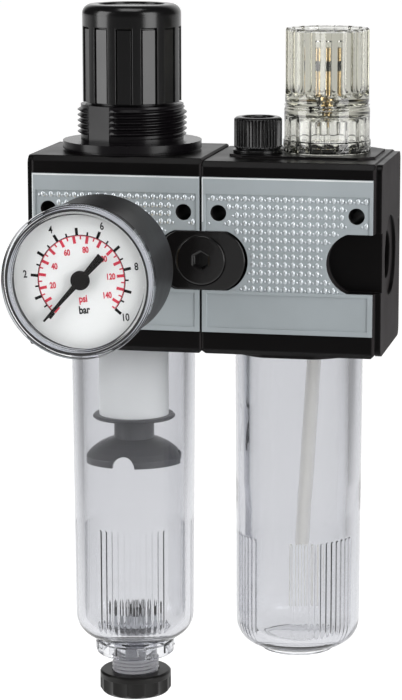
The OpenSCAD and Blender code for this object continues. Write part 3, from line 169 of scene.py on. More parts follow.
def soft(x):
    """Smooth step from 0 to 1."""
    x = max(0.0, min(1.0, x))
    return x * x * (3 - 2 * x)


def helix_ridge(name, centre, z0, z1, pitch, root, crest, material, body, clamp=None, steps=72, start=0.0,
                flat=0.1):
    """A screw thread's ridge from angle start: triangular section, pointed ends, radius limited by clamp(angle)."""
    verts, faces = [], []
    turns = (z1 - z0) / pitch
    count = int(turns * steps)
    foot, half = root - THREAD_SINK, THREAD_HALF * pitch
    for i in range(count + 1):
        t = turns * i / count
        a = start + TURN * t
        grow = min(1.0, t / THREAD_LEAD, (turns - t) / THREAD_LEAD)
        tip = root + (crest - root) * max(grow, 0.02)
        for r, dz in ((foot, -half), (tip, -flat * pitch), (tip, flat * pitch), (foot, half)):
            if clamp:
                r = min(r, clamp(a))
            verts.append((centre[0] + r * math.cos(a), centre[1] + r * math.sin(a),
                          z0 + pitch * t + dz * max(grow, 0.1)))
    for i in range(count):
        faces += band(i * 4, (i + 1) * 4, 4, flip=True)
    faces.append((0, 1, 2, 3))
    faces.append(tuple(count * 4 + k for k in (3, 2, 1, 0)))
    return mesh_object(name, verts, faces, material, body, smooth=40)


def spring(name, node, wire, turns, sides=10):
    """A round-wire spring that fills the node's box."""
    low, high = box_mm(node)
    centre = centre_mm(node)
    mean = radius_mm(node) - wire
    z0, z1 = low.z + wire, high.z - wire
    verts, faces = [], []
    count = int(turns * COIL_STEPS)
    for i in range(count + 1):
        a = TURN * turns * i / count
        for k in range(sides):
            b = TURN * k / sides
            r = mean + wire * math.cos(b)
            verts.append((centre.x + r * math.cos(a), centre.y + r * math.sin(a),
                          z0 + (z1 - z0) * i / count + wire * math.sin(b)))
    for i in range(count):
        faces += band(i * sides, (i + 1) * sides, sides)
    faces.append(tuple(range(sides)))
    faces.append(tuple(count * sides + k for k in reversed(range(sides))))
    piece = mesh_object(name, verts, faces, steel, "housing", smooth=50)
    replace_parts(piece, node)
    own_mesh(piece)


# ---- Shader helpers ----

NOISE_MIDDLE = (0.3, 0.7)  # where most of a noise's values lie
BLOTCH_SCALE, BLOTCH_DETAIL = 60.0, 3
# how many times paler the side faces' colour is: painted light
SIDE_PAINTED_LIGHT = 8
ROUGH_LOW, ROUGH_HIGH = 0.85, 1.2  # how far roughness wanders on an opaque finish
GRAIN_DETAIL, GRAIN_ROUGH, GRAIN_STRENGTH = 5, 0.6, 0.5
BEVEL_SAMPLES = 8
CLEAR_SCALE, CLEAR_TINT, CLEAR_LOW, CLEAR_HIGH = 45.0, 1.015, 0.6, 1.5
RIPPLE_SCALE, RIPPLE_DETAIL, RIPPLE_STRENGTH = 160.0, 2, 0.2


def principled(name):
    m = bpy.data.materials.new(name)
    m.use_nodes = True
    nt = m.node_tree
    return m, nt, nt.nodes["Principled BSDF"]


def operate(nt, kind, operation, values):
    """A Math or Vector Math node; each value is a socket to link or a constant."""
    node = nt.nodes.new(kind)
    node.operation = operation
    for socket, value in zip(node.inputs, values):
        if isinstance(value, bpy.types.NodeSocket):
            nt.links.new(value, socket)
        else:
            socket.default_value = value
    return node


def math_node(nt, operation, *values):
    return operate(nt, "ShaderNodeMath", operation, values).outputs["Value"]


def map_range(nt, source, source_range, target_range, kind="LINEAR"):
    node = nt.nodes.new("ShaderNodeMapRange")
    node.interpolation_type = kind
    for socket, value in zip(("From Min", "From Max", "To Min", "To Max"), (*source_range, *target_range)):
        node.inputs[socket].default_value = value
    nt.links.new(source, node.inputs["Value"])
    return node.outputs["Result"]


def noise(nt, scale, detail, rough=0.55):
    coord = nt.nodes.new("ShaderNodeTexCoord")
    tex = nt.nodes.new("ShaderNodeTexNoise")
    tex.inputs["Scale"].default_value = scale
    tex.inputs["Detail"].default_value = detail
    tex.inputs["Roughness"].default_value = rough
    nt.links.new(coord.outputs["Object"], tex.inputs["Vector"])
    return tex.outputs["Fac"]


def ramp(nt, source, low, high):
    node = nt.nodes.new("ShaderNodeValToRGB")
    for element, position, color in zip(node.color_ramp.elements, NOISE_MIDDLE, (low, high)):
        element.position = position
        element.color = (*color, 1)
    nt.links.new(source, node.inputs["Fac"])
    return node.outputs["Color"]


def side_share(nt):
    """1 on faces that look along x, 0 on those that look along y or z."""
    coord = nt.nodes.new("ShaderNodeTexCoord")
    axes = nt.nodes.new("ShaderNodeSeparateXYZ")
    nt.links.new(coord.outputs["Normal"], axes.inputs["Vector"])
    return math_node(nt, "ABSOLUTE", axes.outputs["X"])


def side_pale(nt, share, source, color):
    """Painted light: fades the colour to a paler one on the side faces, which the lamps light too little."""
    mix = nt.nodes.new("ShaderNodeMix")
    mix.data_type = "RGBA"
    nt.links.new(share, mix.inputs["Factor"])
    nt.links.new(source, mix.inputs[6])
    mix.inputs[7].default_value = (*color, 1)
    return mix.outputs[2]


def bump_node(nt, height, distance, strength):
    bump = nt.nodes.new("ShaderNodeBump")
    bump.inputs["Strength"].default_value = strength
    bump.inputs["Distance"].default_value = distance * MM
    nt.links.new(height, bump.inputs["Height"])
    return bump


def finish_material(name, color, rough, metal=0.0, grain=900.0, grain_height=0.02, spread=0.12, edge=0.0,
                    specular=0.4, stretch=None, side_rough_and_light=0.0):
    """Opaque finish: mottled colour, uneven roughness, fine bump and, where edge is set, rounded edge highlights.
    The side-face amount makes the side faces rougher, and paints light onto them so that their colour comes out
    paler."""
    m, nt, bsdf = principled(name)
    wide = noise(nt, BLOTCH_SCALE, BLOTCH_DETAIL)
    dark = tuple(c * (1 - spread) for c in color)
    light = tuple(min(1, c * (1 + spread)) for c in color)
    paint = ramp(nt, wide, dark, light)
    uneven = map_range(nt, wide, NOISE_MIDDLE, (rough * ROUGH_LOW, min(1, rough * ROUGH_HIGH)))
    if side_rough_and_light:
        share = side_share(nt)
        uneven = math_node(nt, "MULTIPLY_ADD", share, side_rough_and_light, uneven)
        # painted light: the side faces get a paler colour
        paint = side_pale(nt, share, paint, tuple(c * SIDE_PAINTED_LIGHT for c in color))
    nt.links.new(paint, bsdf.inputs["Base Color"])
    nt.links.new(uneven, bsdf.inputs["Roughness"])
    bsdf.inputs["Metallic"].default_value = metal
    bsdf.inputs["Specular IOR Level"].default_value = specular
    fine = noise(nt, grain, GRAIN_DETAIL, GRAIN_ROUGH)
    if stretch:
        tex = fine.node
        mapping = nt.nodes.new("ShaderNodeMapping")
        mapping.inputs["Scale"].default_value = stretch
        coord = tex.inputs["Vector"].links[0].from_socket
        nt.links.new(coord, mapping.inputs["Vector"])
        nt.links.new(mapping.outputs["Vector"], tex.inputs["Vector"])
    bump = bump_node(nt, fine, grain_height, GRAIN_STRENGTH)
    if edge:
        bevel = nt.nodes.new("ShaderNodeBevel")
        bevel.samples = BEVEL_SAMPLES
        bevel.inputs["Radius"].default_value = edge * MM
        nt.links.new(bevel.outputs["Normal"], bump.inputs["Normal"])
    nt.links.new(bump.outputs["Normal"], bsdf.inputs["Normal"])
    return m


def clear_material(name, tint, rough, ior=1.5, shade=0.92, haze=0.0, absorb=None, density=0.0, ripple=0.01):
    """Clear or tinted moulding; shadow rays pass straight through so that what is inside stays lit."""
    m, nt, bsdf = principled(name)
    wide = noise(nt, CLEAR_SCALE, BLOTCH_DETAIL)
    light = tuple(min(1, c * CLEAR_TINT) for c in tint)
    nt.links.new(ramp(nt, wide, tint, light), bsdf.inputs["Base Color"])
    uneven = map_range(nt, wide, NOISE_MIDDLE, (rough * CLEAR_LOW, rough * CLEAR_HIGH))
    nt.links.new(uneven, bsdf.inputs["Roughness"])
    bsdf.inputs["IOR"].default_value = ior
    bsdf.inputs["Transmission Weight"].default_value = 1.0 - haze
    bump = bump_node(nt, noise(nt, RIPPLE_SCALE, RIPPLE_DETAIL), ripple, RIPPLE_STRENGTH)
    nt.links.new(bump.outputs["Normal"], bsdf.inputs["Normal"])
    out = nt.nodes["Material Output"]
    passing = nt.nodes.new("ShaderNodeBsdfTransparent")
    passing.inputs["Color"].default_value = (*(c * shade for c in tint), 1)
    path = nt.nodes.new("ShaderNodeLightPath")
    mix = nt.nodes.new("ShaderNodeMixShader")
    nt.links.new(path.outputs["Is Shadow Ray"], mix.inputs["Fac"])
    nt.links.new(bsdf.outputs["BSDF"], mix.inputs[1])
    nt.links.new(passing.outputs["BSDF"], mix.inputs[2])
    nt.links.new(mix.outputs["Shader"], out.inputs["Surface"])
    if absorb:
        inside = nt.nodes.new("ShaderNodeVolumeAbsorption")
        inside.inputs["Color"].default_value = (*absorb, 1)
        inside.inputs["Density"].default_value = density
        nt.links.new(inside.outputs["Volume"], out.inputs["Volume"])
    return m


# ---- Materials ----

BOWL_TINT, BOWL_ABSORB = (0.84, 0.843, 0.855), (0.66, 0.67, 0.705)
CAD_SHARP = 30

# The housing's side faces are rougher, and paler through painted light.
housing = finish_material("housing_black", (0.0036, 0.0032, 0.0033), 0.33, grain=1400, grain_height=0.012, edge=0.6,
                          specular=0.09, side_rough_and_light=0.35)
knob = finish_material("knob_black", (0.005, 0.0048, 0.005), 0.2, grain=1200, grain_height=0.006, edge=0.22,
                       specular=0.38)
bonnet = finish_material("bonnet_black", (0.005, 0.0042, 0.005), 0.22, grain=1500, grain_height=0.006, edge=0.15,
                         specular=0.18)
gloss = finish_material("coupling_black", (0.005, 0.0045, 0.0045), 0.18, grain=700, grain_height=0.008, edge=0.6,
                        specular=0.6)
silver = finish_material("plate_silver", (0.385, 0.425, 0.445), 0.42, metal=0.2, grain=1600, grain_height=0.006,
                         spread=0.04, edge=0.18)
# A pale strip colour for the plates' edges: painted highlight.
edge_highlight_paint = finish_material("plate_edge_painted_highlight", (0.86, 0.89, 0.9), 0.4, metal=0.3, grain_height=0.004)
# The beads are the plate's silver made paler and more metallic: a painted highlight on top of the beads' real shine.
bead_highlight_silver = finish_material("bead_silver_painted_highlight", (0.6, 0.64, 0.665), 0.24, metal=0.5, grain=1500, grain_height=0.004,
                       spread=0.05)
case = finish_material("gauge_black", (0.017, 0.0165, 0.0175), 0.42, grain=1300, grain_height=0.03, edge=0.25,
                       specular=0.6)
dial = finish_material("dial_white", (0.78, 0.785, 0.755), 0.5, grain_height=0.004, spread=0.02)
cup = finish_material("cup_grey", (0.42, 0.43, 0.45), 0.5, grain_height=0.004, spread=0.03)
ink = finish_material("ink_black", (0.006, 0.0055, 0.0055), 0.7, grain_height=0.002, specular=0.1)
red = finish_material("ink_red", (0.62, 0.03, 0.06), 0.55, grain_height=0.002)
pointer = finish_material("pointer_black", (0.008, 0.0065, 0.006), 0.4, grain=1300, grain_height=0.006, edge=0.08,
                          specular=0.15)
brass = finish_material("brass", (0.62, 0.47, 0.27), 0.24, metal=1.0, grain=500, grain_height=0.01,
                        stretch=(0.15, 0.15, 3.0), edge=0.1)
steel = finish_material("steel", (0.55, 0.56, 0.58), 0.28, metal=1.0, grain=500, grain_height=0.008,
                        stretch=(0.2, 0.2, 3.0), edge=0.1)
rubber = finish_material("rubber_black", (0.012, 0.012, 0.012), 0.6, grain=1000)
element = finish_material("element_white", (0.93, 0.94, 0.91), 0.85, grain=1700, grain_height=0.08, spread=0.03)
grey = finish_material("internals_grey", (0.075, 0.076, 0.08), 0.3, grain=1200, grain_height=0.01, edge=0.2)
drain = finish_material("drain_black", (0.006, 0.0055, 0.005), 0.36, grain=1200, grain_height=0.012, edge=0.25,
                        specular=0.25)
natural = finish_material("drain_natural", (0.5, 0.51, 0.53), 0.4, grain=1200, grain_height=0.004)
bowl = clear_material("bowl_clear", BOWL_TINT, 0.01, absorb=BOWL_ABSORB, density=92)
filter_clear = clear_material("filter_bowl_clear", BOWL_TINT, 0.01, absorb=BOWL_ABSORB, density=122)
stem_clear = clear_material("stem_clear", (0.57, 0.57, 0.59), 0.1, ior=1.45, haze=0.43)
tube = clear_material("tube_clear", (0.95, 0.94, 0.91), 0.3, ior=1.16, haze=0.24)
amber = clear_material("dome_amber", (0.875, 0.876, 0.852), 0.004, ior=1.49, shade=0.9, absorb=(0.71, 0.705, 0.65),
                       density=97, ripple=0.003)
pane = clear_material("gauge_clear", (0.95, 0.955, 0.97), 0.01, ior=1.22, ripple=0.004)

BY_SLOT = {
    "housing_black": housing, "plate_silver": silver, "coupling_black": gloss, "knob_black": knob,
    "bonnet_black": bonnet, "bowl_clear": bowl, "tube_clear": tube, "dome_amber": amber, "gauge_clear": pane,
    "gauge_black": case, "dial_white": dial, "pointer_black": pointer, "brass": brass, "steel": steel,
    "rubber_black": rubber, "element_white": element, "internals_grey": grey, "drain_black": drain,
}
for part in frame["record"]["subparts"]:
    data = nodes[part["node"]].data
    data.materials.clear()
    data.materials.append(BY_SLOT[part["material_slot"]])
    data.set_sharp_from_angle(angle=math.radians(CAD_SHARP))

# ---- Clear bowls ----

RIBS = 54  # in a full turn, of which each group takes its share
GROUP_PITCH, GROUP_HALF = 120, 40.0
STEPS_PER_RIB = 10
RIB_RUN_IN = 0.7  # height over which a rib rises at its top
BOWL_ROUND = 7.2
STEM_R, STEM_CREST, STEM_PITCH = 6.1, 6.62, 1.05
FILTER_RIB_TOP, FILTER_FLOOR, FILTER_CORNER = -77.4, -108.8, 4.7
OIL_RIB_TOP, OIL_FLOOR, OIL_CORNER = -78.5, -107.4, 4.4


def in_rib_group(a, middle):
    """Whether an angle lies in one of the three groups of ribs round a bowl; middle is one group's middle."""
    off = (math.degrees(a) - middle + GROUP_PITCH / 2) % GROUP_PITCH - GROUP_PITCH / 2
    return abs(off) < GROUP_HALF


def clear_bowl(name, node, body, paint, walls, rib_top, floor_z, corner, rib_depth, middle):
    """Revolved bowl with groups of rounded ribs on its inner wall, which run out along the bottom corner."""
    outer, inner = walls

    def mod(r, z, a, k):
        if k < len(outer) or not in_rib_group(a, middle):
            return r
        fade = soft((rib_top - z) / RIB_RUN_IN) * soft((z - floor_z - 0.5) / corner)
        return r - rib_depth * fade * (0.5 - 0.5 * math.cos(RIBS * (a - math.radians(middle))))

    piece = lathe(name, centre_mm(node), outer + inner, RIBS * STEPS_PER_RIB, paint, body, mod=mod)
    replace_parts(piece, node)


def rib_wall(r, high, low, count=8):
    """Points down a ribbed wall, closer together at the ribs' tops."""
    close = [(r, high + up) for up in (0.5, 0.0, -0.25, -0.5, -0.75)]
    return close + [(r, high - 1 + (low - high + 1) * i / count) for i in range(1, count)]


def filter_bowl_walls():
    top = box_mm("filter_bowl")[1].z
    bottom, collar, stem = -111.3, -115.9, -123.5
    outer = [(3.0, stem), (5.7, stem), (STEM_R, stem + 0.4), (STEM_R, -117.0), (STEM_R, -113.0), (6.4, -112.6),
             (8.9, -112.6), (9.2, -113.0), (9.2, collar), (10.5, collar), (10.9, collar + 0.4), (10.9, bottom - 0.8),
             (10.3, bottom)]
    outer += arc(16.7 - BOWL_ROUND, bottom + BOWL_ROUND, BOWL_ROUND, -82, 0, 12)
    outer += [(16.9, -74.5), (17.2, -33.5), (17.25, top - 0.3), (16.95, top)]
    inner = [(16.65, top), (16.65, top - 1.4), (14.85, top - 1.4), (14.85, top), (14.5, top), (14.2, top - 0.3)]
    inner += rib_wall(14.2, FILTER_RIB_TOP, FILTER_FLOOR + FILTER_CORNER)
    inner += arc(14.2 - FILTER_CORNER, FILTER_FLOOR + FILTER_CORNER, FILTER_CORNER, 0, -90, 10)
    inner += [(3.0, FILTER_FLOOR)]
    return outer, inner


def oil_bowl_walls():
    top = box_mm("lubricator_bowl")[1].z
    bottom, foot = -110.4, -111.6
    outer = [(0, bottom + 0.1), (8.7, bottom + 0.1), (8.7, foot + 0.3), (9.0, foot), (10.0, foot), (10.3, foot + 0.3),
             (10.4, bottom + 0.05)]
    outer += arc(17.2 - BOWL_ROUND, bottom + BOWL_ROUND, BOWL_ROUND, -82, 0, 12)
    outer += [(17.25, -98.5), (17.3, -72.5), (17.65, top - 0.3), (17.35, top)]
    inner = [(16.57, top), (16.57, top - 1.4), (14.83, top - 1.4), (14.83, top), (14.05, top), (13.75, top - 0.3)]
    inner += [(13.75, -63.0), (13.72, -64.5), (13.33, -71.5), (13.3, -73.0)]
    inner += rib_wall(13.3, OIL_RIB_TOP, OIL_FLOOR + OIL_CORNER)
    inner += arc(13.3 - OIL_CORNER, OIL_FLOOR + OIL_CORNER, OIL_CORNER, 0, -90, 10)
    inner += [(0, OIL_FLOOR)]
    return outer, inner


clear_bowl("filter_bowl_clear", "filter_bowl", "filter_bowl", filter_clear, filter_bowl_walls(),
           FILTER_RIB_TOP, FILTER_FLOOR, FILTER_CORNER, rib_depth=0.25, middle=-80)
helix_ridge("drain_stem_thread", REG, -122.8, -116.7, STEM_PITCH, STEM_R, STEM_CREST, stem_clear, "filter_bowl")
clear_bowl("oil_bowl_clear", "lubricator_bowl", "oil_bowl", bowl, oil_bowl_walls(),
           OIL_RIB_TOP, OIL_FLOOR, OIL_CORNER, rib_depth=0.28, middle=-50)

# ---- Sight dome and metering knob ----

DOME_LOW = box_mm("sight_dome")[0].z
DOME_IN, DOME_TOP = 9.2, 40.2
WAVE_LOW, WAVE_HIGH, WAVE_DEPTH = 27.8, 36.6, 0.55
KNOB_LOW, KNOB_TOP = heights_mm("metering_knob")
FLUTES = 16
FLUTE_FOOT, FLUTE_DEPTH = 42.3, 0.8
DOME_STEPS = FLUTES * 16


def dome_wave(r, z, a, k):
    """Shallow ribs on the inner wall."""
    if r != DOME_IN:
        return r
    fade = soft((WAVE_HIGH - z) / 0.8) * soft((z - WAVE_LOW) / 0.8)
    return r + WAVE_DEPTH * fade * (0.5 - 0.5 * math.cos(FLUTES * a))


def knob_flute(r, z, a, k):
    """Hollow flutes with sharp ridges and rounded feet."""
    if r < 10.3 or z < 41.5:
        return r
    across = 2 * ((FLUTES * a / TURN) % 1.0) - 1
    fade = soft((z - FLUTE_FOOT - across * across) / 1.1)
    return r - FLUTE_DEPTH * fade * (1 - across * across)


dome_profile = [(DOME_IN, DOME_LOW), (10.0, DOME_LOW), (10.3, DOME_LOW + 0.3), (10.3, 27.2), (11.8, 27.2),
                (12.0, 27.4), (12.0, 28.5), (11.75, 28.65), (11.75, 28.85), (12.0, 29.0), (12.0, 30.3), (11.7, 30.6),
                (11.7, 38.9), (11.45, 39.3), (11.45, 39.6), (11.7, 39.9), (11.4, DOME_TOP), (4.25, DOME_TOP),
                (4.25, 37.9), (0.95, 37.9), (0.95, 31.8), (1.65, 31.8), (2.1, 37.4)]
dome_profile += arc(DOME_IN - 1.5, 36.1, 1.5, 90, 10, 8)
dome_profile += [(DOME_IN, z) for z in (WAVE_HIGH, 36.4, 36.2, 36.0, 35.8, 33.0, 30.5, 28.6, 28.3, 28.0, WAVE_LOW)]
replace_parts(lathe("dome_shell", DOME, dome_profile, DOME_STEPS, amber, "housing", mod=dome_wave,
                  smooth=30), "sight_dome")

knob_profile = [(2.0, KNOB_LOW), (3.9, KNOB_LOW), (4.15, KNOB_LOW + 0.25), (4.15, 40.35), (11.1, 40.35),
                (11.5, 40.75), (11.5, 41.6)]
knob_profile += [(11.5, 41.9 + 0.2 * i) for i in range(13)]
knob_profile += [(11.5, 47.0), (11.5, 53.0), (11.5, KNOB_TOP - 0.35), (11.15, KNOB_TOP), (10.0, KNOB_TOP),
                 (9.8, KNOB_TOP - 0.2), (9.8, KNOB_TOP - 0.8), (0, KNOB_TOP - 0.8), (0, 57.4), (1.7, 57.4),
                 (2.0, 57.1)]
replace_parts(lathe("metering_knob_clear", DOME, knob_profile, DOME_STEPS, amber, "metering",
                  mod=knob_flute, smooth=30), "metering_knob")

# ---- Setting knob: grip panels in a grooved outline ----

KNOB_BASE, KNOB_CROWN = heights_mm("regulator_knob")
KNOB_R, KNOB_SKIRT_IN = radius_mm("regulator_knob"), 11.9
KNOB_ROUND = 2.6
PANEL_TOP = KNOB_CROWN - 6.1
PANELS, PANEL_TURN = 12, -86.3
PANEL_PITCH = 360 / PANELS
PANEL_HALF = 9.5  # degrees
PANEL_OFFSETS = (-15, -12.5, -10.2, -9.7, -9.6, -8.2, -8.05, -5, -2.5, 0, 2.5, 5, 8.05, 8.2, 9.6, 9.7, 10.2, 12.5)
PANEL_HEIGHTS = (-1.0, -0.36, -0.3, 0.02, 0.1, 0.2, 0.6)
EDGE_OUT, GROOVE_OUT, GROOVE_IN = 0.6, 0.15, -1.38  # degrees outside the panel's line
EDGE_DEPTH, GROOVE_DEPTH, PANEL_DEPTH = 0.12, 1.0, 0.55
MM_PER_DEGREE = 0.23


def knob_panel(r, z, a, k):
    """A flat panel inside a narrow groove inside a rounded edge."""
    if r < KNOB_R - 0.01 or z > PANEL_TOP + 0.25:
        return r
    off = (math.degrees(a) - PANEL_TURN + PANEL_PITCH / 2) % PANEL_PITCH - PANEL_PITCH / 2
    outside = max(abs(off) - PANEL_HALF, (z - PANEL_TOP) / MM_PER_DEGREE)
    if outside > EDGE_OUT:
        return r
    if outside > GROOVE_OUT:
        return r - EDGE_DEPTH
    if outside > GROOVE_IN:
        return r - GROOVE_DEPTH
    return (r - PANEL_DEPTH) / math.cos(math.radians(off))


grip_profile = [(KNOB_SKIRT_IN, KNOB_BASE), (KNOB_R, KNOB_BASE), (KNOB_R, KNOB_BASE + 0.3)]
grip_profile += [(KNOB_R, PANEL_TOP + up) for up in PANEL_HEIGHTS]
grip_profile += [(KNOB_R, KNOB_CROWN - 3.2)]
grip_profile += arc(KNOB_R - KNOB_ROUND, KNOB_CROWN - KNOB_ROUND, KNOB_ROUND, 0, 90, 12)
grip_profile += [(9.3, KNOB_CROWN), (9.0, KNOB_CROWN - 0.15), (9.0, KNOB_CROWN - 0.5), (0, KNOB_CROWN - 0.5),
                 (0, KNOB_CROWN - 1.9), (5.02, KNOB_CROWN - 1.9), (5.02, 58.6), (8.0, 58.6), (8.0, KNOB_CROWN - 1.9),
                 (KNOB_SKIRT_IN, KNOB_CROWN - 1.9)]
grip_angles = [math.radians(PANEL_TURN + PANEL_PITCH * i + off) for i in range(PANELS) for off in PANEL_OFFSETS]
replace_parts(lathe("knob_grip", KNOB, grip_profile, grip_angles, knob, "knob", mod=knob_panel,
                  smooth=30), "regulator_knob")

# ---- Drain plunger: a cup of fingers on a clear rod ----

ROD_LOW, PLUNGER_TOP = heights_mm("drain_plunger")
ROD_R = 2.9
CUP_LOW, CUP_FLOOR = -107.5, -106.8
FINGERS, FINGER_SHARE = 12, 0.4
FINGER_IN, FINGER_OUT = 4.2, 5.1
FINGER_SPLIT = PLUNGER_TOP - 2.7


def finger_ring(name, low, high, nose, paint):
    """Upright fingers in a ring; the last nose mm of each taper to half its size."""
    verts, faces = [], []
    pitch = TURN / FINGERS
    mid = (FINGER_IN + FINGER_OUT) / 2
    levels = [(low, 1.0), (high - nose, 1.0)] + ([(high, 0.5)] if nose else [])
    for i in range(FINGERS):
        start, turn = len(verts), pitch * i
        for z, size in levels:
            half = pitch * FINGER_SHARE / 2 * size
            reach = (FINGER_OUT - FINGER_IN) / 2 * size
            for r, a in ((mid - reach, turn - half), (mid + reach, turn - half), (mid + reach, turn + half),
                         (mid - reach, turn + half)):
                verts.append((REG.x + r * math.cos(a), REG.y + r * math.sin(a), z))
        for level in range(len(levels) - 1):
            faces += band(start + level * 4, start + level * 4 + 4, 4, flip=True)
        top = start + 4 * (len(levels) - 1)
        faces.append((start + 3, start + 2, start + 1, start))
        faces.append((top, top + 1, top + 2, top + 3))
    return mesh_object(name, verts, faces, paint, "drain_valve", smooth=30, recalc=False)


def drain_disc(name, r, low, high, steps, paint):
    lathe(name, REG, [(0, low), (r, low), (r, high), (0, high)], steps, paint, "drain_valve")


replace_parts(finger_ring("drain_fingers", FINGER_SPLIT, PLUNGER_TOP, 0.5, drain), "drain_plunger")
nodes["drain_o_ring"].data.materials[0] = natural
finger_ring("drain_fingers_foot", CUP_FLOOR, FINGER_SPLIT, 0, natural)
drain_disc("drain_cup_floor", FINGER_OUT, CUP_LOW, CUP_FLOOR, 64, natural)
drain_disc("drain_rod", ROD_R, ROD_LOW, CUP_LOW - 0.05, 48, stem_clear)

# ---- The springs and the diaphragm's membrane ----

spring("setting_spring_coil", "setting_spring", wire=1.1, turns=4.5)
spring("valve_spring_coil", "valve_spring", wire=0.4, turns=5, sides=8)

RIM, CROWN = heights_mm("diaphragm")
RIM_R, DISC_R, SKIN = radius_mm("diaphragm"), 3.98, 0.9
bend_profile = [(DISC_R, CROWN - SKIN), (10.1, CROWN - SKIN), (11.3, RIM + SKIN), (12.5, RIM), (RIM_R, RIM),
                (RIM_R, RIM + SKIN), (12.7, RIM + SKIN), (11.5, RIM + 2 * SKIN), (10.3, CROWN), (DISC_R, CROWN)]
membrane = lathe("diaphragm_membrane", centre_mm("diaphragm"), bend_profile, 96, rubber, None)
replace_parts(membrane, "diaphragm")
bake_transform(membrane)

# ---- Pads round the filter bowl's collar ----

PADS = 8
PAD_LOW, PAD_HIGH, PAD_HALF = -114.8, -112.4, 1.3
PAD_IN, PAD_OUT, PAD_TAPER = 10.6, 11.2, 0.2


def collar_pads():
    """Raised pads, each a little smaller at its outer face."""
    verts, faces = [], []
    for i in range(PADS):
        a = TURN * (i + 0.5) / PADS - math.pi / 2
        ux, uy = math.cos(a), math.sin(a)
        start = len(verts)
        for r, inset in ((PAD_IN, 0.0), (PAD_OUT, PAD_TAPER)):
            w, low, high = PAD_HALF - inset, PAD_LOW + inset, PAD_HIGH - inset
            for s, z in ((-w, low), (w, low), (w, high), (-w, high)):
                verts.append((REG.x + r * ux - s * uy, REG.y + r * uy + s * ux, z))
        faces += [tuple(range(start, start + 4)), tuple(range(start + 4, start + 8))]
        faces += band(start, start + 4, 4, flip=True)
    mesh_object("collar_windows", verts, faces, bowl, "filter_bowl")


collar_pads()

# ---- Thread of the bonnet's neck ----

NECK_ROOT, NECK_CREST, NECK_PITCH = 14.1, 15.0, 1.5
NECK_FLAT, FLAT_ANGLE = 13.59, math.radians(-118.6)
NECK_LOW, NECK_HIGH, NECK_START = 31.0, 39.1, math.radians(268)


def neck_clamp(a):
    """Keeps the thread behind the two flats of the neck."""
    c = abs(math.cos(a - FLAT_ANGLE))
    return NECK_FLAT / c if c > 0.5 else NECK_CREST


helix_ridge("neck_thread", REG, NECK_LOW, NECK_HIGH, NECK_PITCH, NECK_ROOT, NECK_CREST, bonnet, "housing",
            clamp=neck_clamp, steps=120, start=NECK_START, flat=0.05)

# ---- Beaded fields of the faceplates ----

FIELD_FACE = -20.2
FIELD_LOW, FIELD_TOP = -7.95, 17.95
FIELD_SIDE = 1.25
PITCH_X, PITCH_Z, FIRST_ROW = 2.17, 2.19, 16.85
FIELD_SHIFT, SMALL_DROP = -0.5, -0.27
HOLE_Z, HOLE_INSET, HOLE_R = 12.85, 4.75, 2.2
SLOT_REACH, SLOT_R, SLOT_HALF = 12.8, 8.5, 8
BOSS_R = 9.1
BLOCK_W = 46.7
SPLIT_X = 47.3
BIG_BEAD = (0.62, 0.86, 0.42, 12)  # half width, half height, rise, sides
SMALL_BEAD = (0.36, 0.42, 0.26, 8)
BIG_ROOM, SMALL_ROOM = 0.7, 0.4
BEAD_RINGS = ((1.0, 0.0), (0.82, 0.55), (0.45, 0.9))  # share of the size, share of the rise


def inside_slot(dx, dz, grow):
    """Inside the clipped side cut-out, grown all round."""
    reach = SLOT_REACH - SLOT_R
    return abs(dz) < SLOT_HALF + grow and math.hypot(max(0, abs(dx) - reach), dz) < SLOT_R + grow


def bead_free(x, z, x0, gauge_x, r):
    """True where a bead may stand on the plate of the block that starts at x0."""
    if not (x0 + FIELD_SIDE + r < x < x0 + BLOCK_W - FIELD_SIDE - r and FIELD_LOW + r < z < FIELD_TOP - r):
        return False
    for side in (x0, x0 + BLOCK_W):
        if inside_slot(x - side, z, r + 0.3):
            return False
    for hole in (x0 + HOLE_INSET, x0 + BLOCK_W - HOLE_INSET):
        if math.hypot(x - hole, z - HOLE_Z) < HOLE_R + r + 0.4:
            return False
    return gauge_x is None or math.hypot(x - gauge_x, z) > BOSS_R + r + 0.7


def bead_dome(verts, faces, x, z, r, tall, rise, sides):
    start = len(verts)
    for scale, up in BEAD_RINGS:
        for k in range(sides):
            a = TURN * k / sides
            verts.append((x + r * scale * math.cos(a), FIELD_FACE - rise * up, z + tall * scale * math.sin(a)))
    top = len(verts)
    verts.append((x, FIELD_FACE - rise, z))
    for ring in range(start, top - sides, sides):
        faces += band(ring, ring + sides, sides, flip=True)
    last = top - sides
    faces += [(last + k, last + (k + 1) % sides, top) for k in range(sides)]
    faces.append(tuple(start + k for k in reversed(range(sides))))


def bead_field(name, x0, gauge_x):
    """Rows of big beads with small ones between them."""
    verts, faces = [], []
    rows = int((FIRST_ROW - FIELD_LOW) / PITCH_Z) + 1
    cols = int(BLOCK_W / PITCH_X / 2) + 1
    for i in range(rows):
        for j in range(-cols, cols + 1):
            x, z = x0 + BLOCK_W / 2 + FIELD_SHIFT + j * PITCH_X, FIRST_ROW - i * PITCH_Z
            if bead_free(x, z, x0, gauge_x, BIG_ROOM):
                bead_dome(verts, faces, x, z, *BIG_BEAD)
            x, z = x + PITCH_X / 2, z + SMALL_DROP
            if bead_free(x, z, x0, gauge_x, SMALL_ROOM):
                bead_dome(verts, faces, x, z, *SMALL_BEAD)
    mesh_object(name, verts, faces, bead_highlight_silver, "housing", smooth=60, recalc=False)


bead_field("beads_regulator", SPLIT_X - BLOCK_W, REG.x)
bead_field("beads_lubricator", SPLIT_X, None)

# ---- Dial print ----

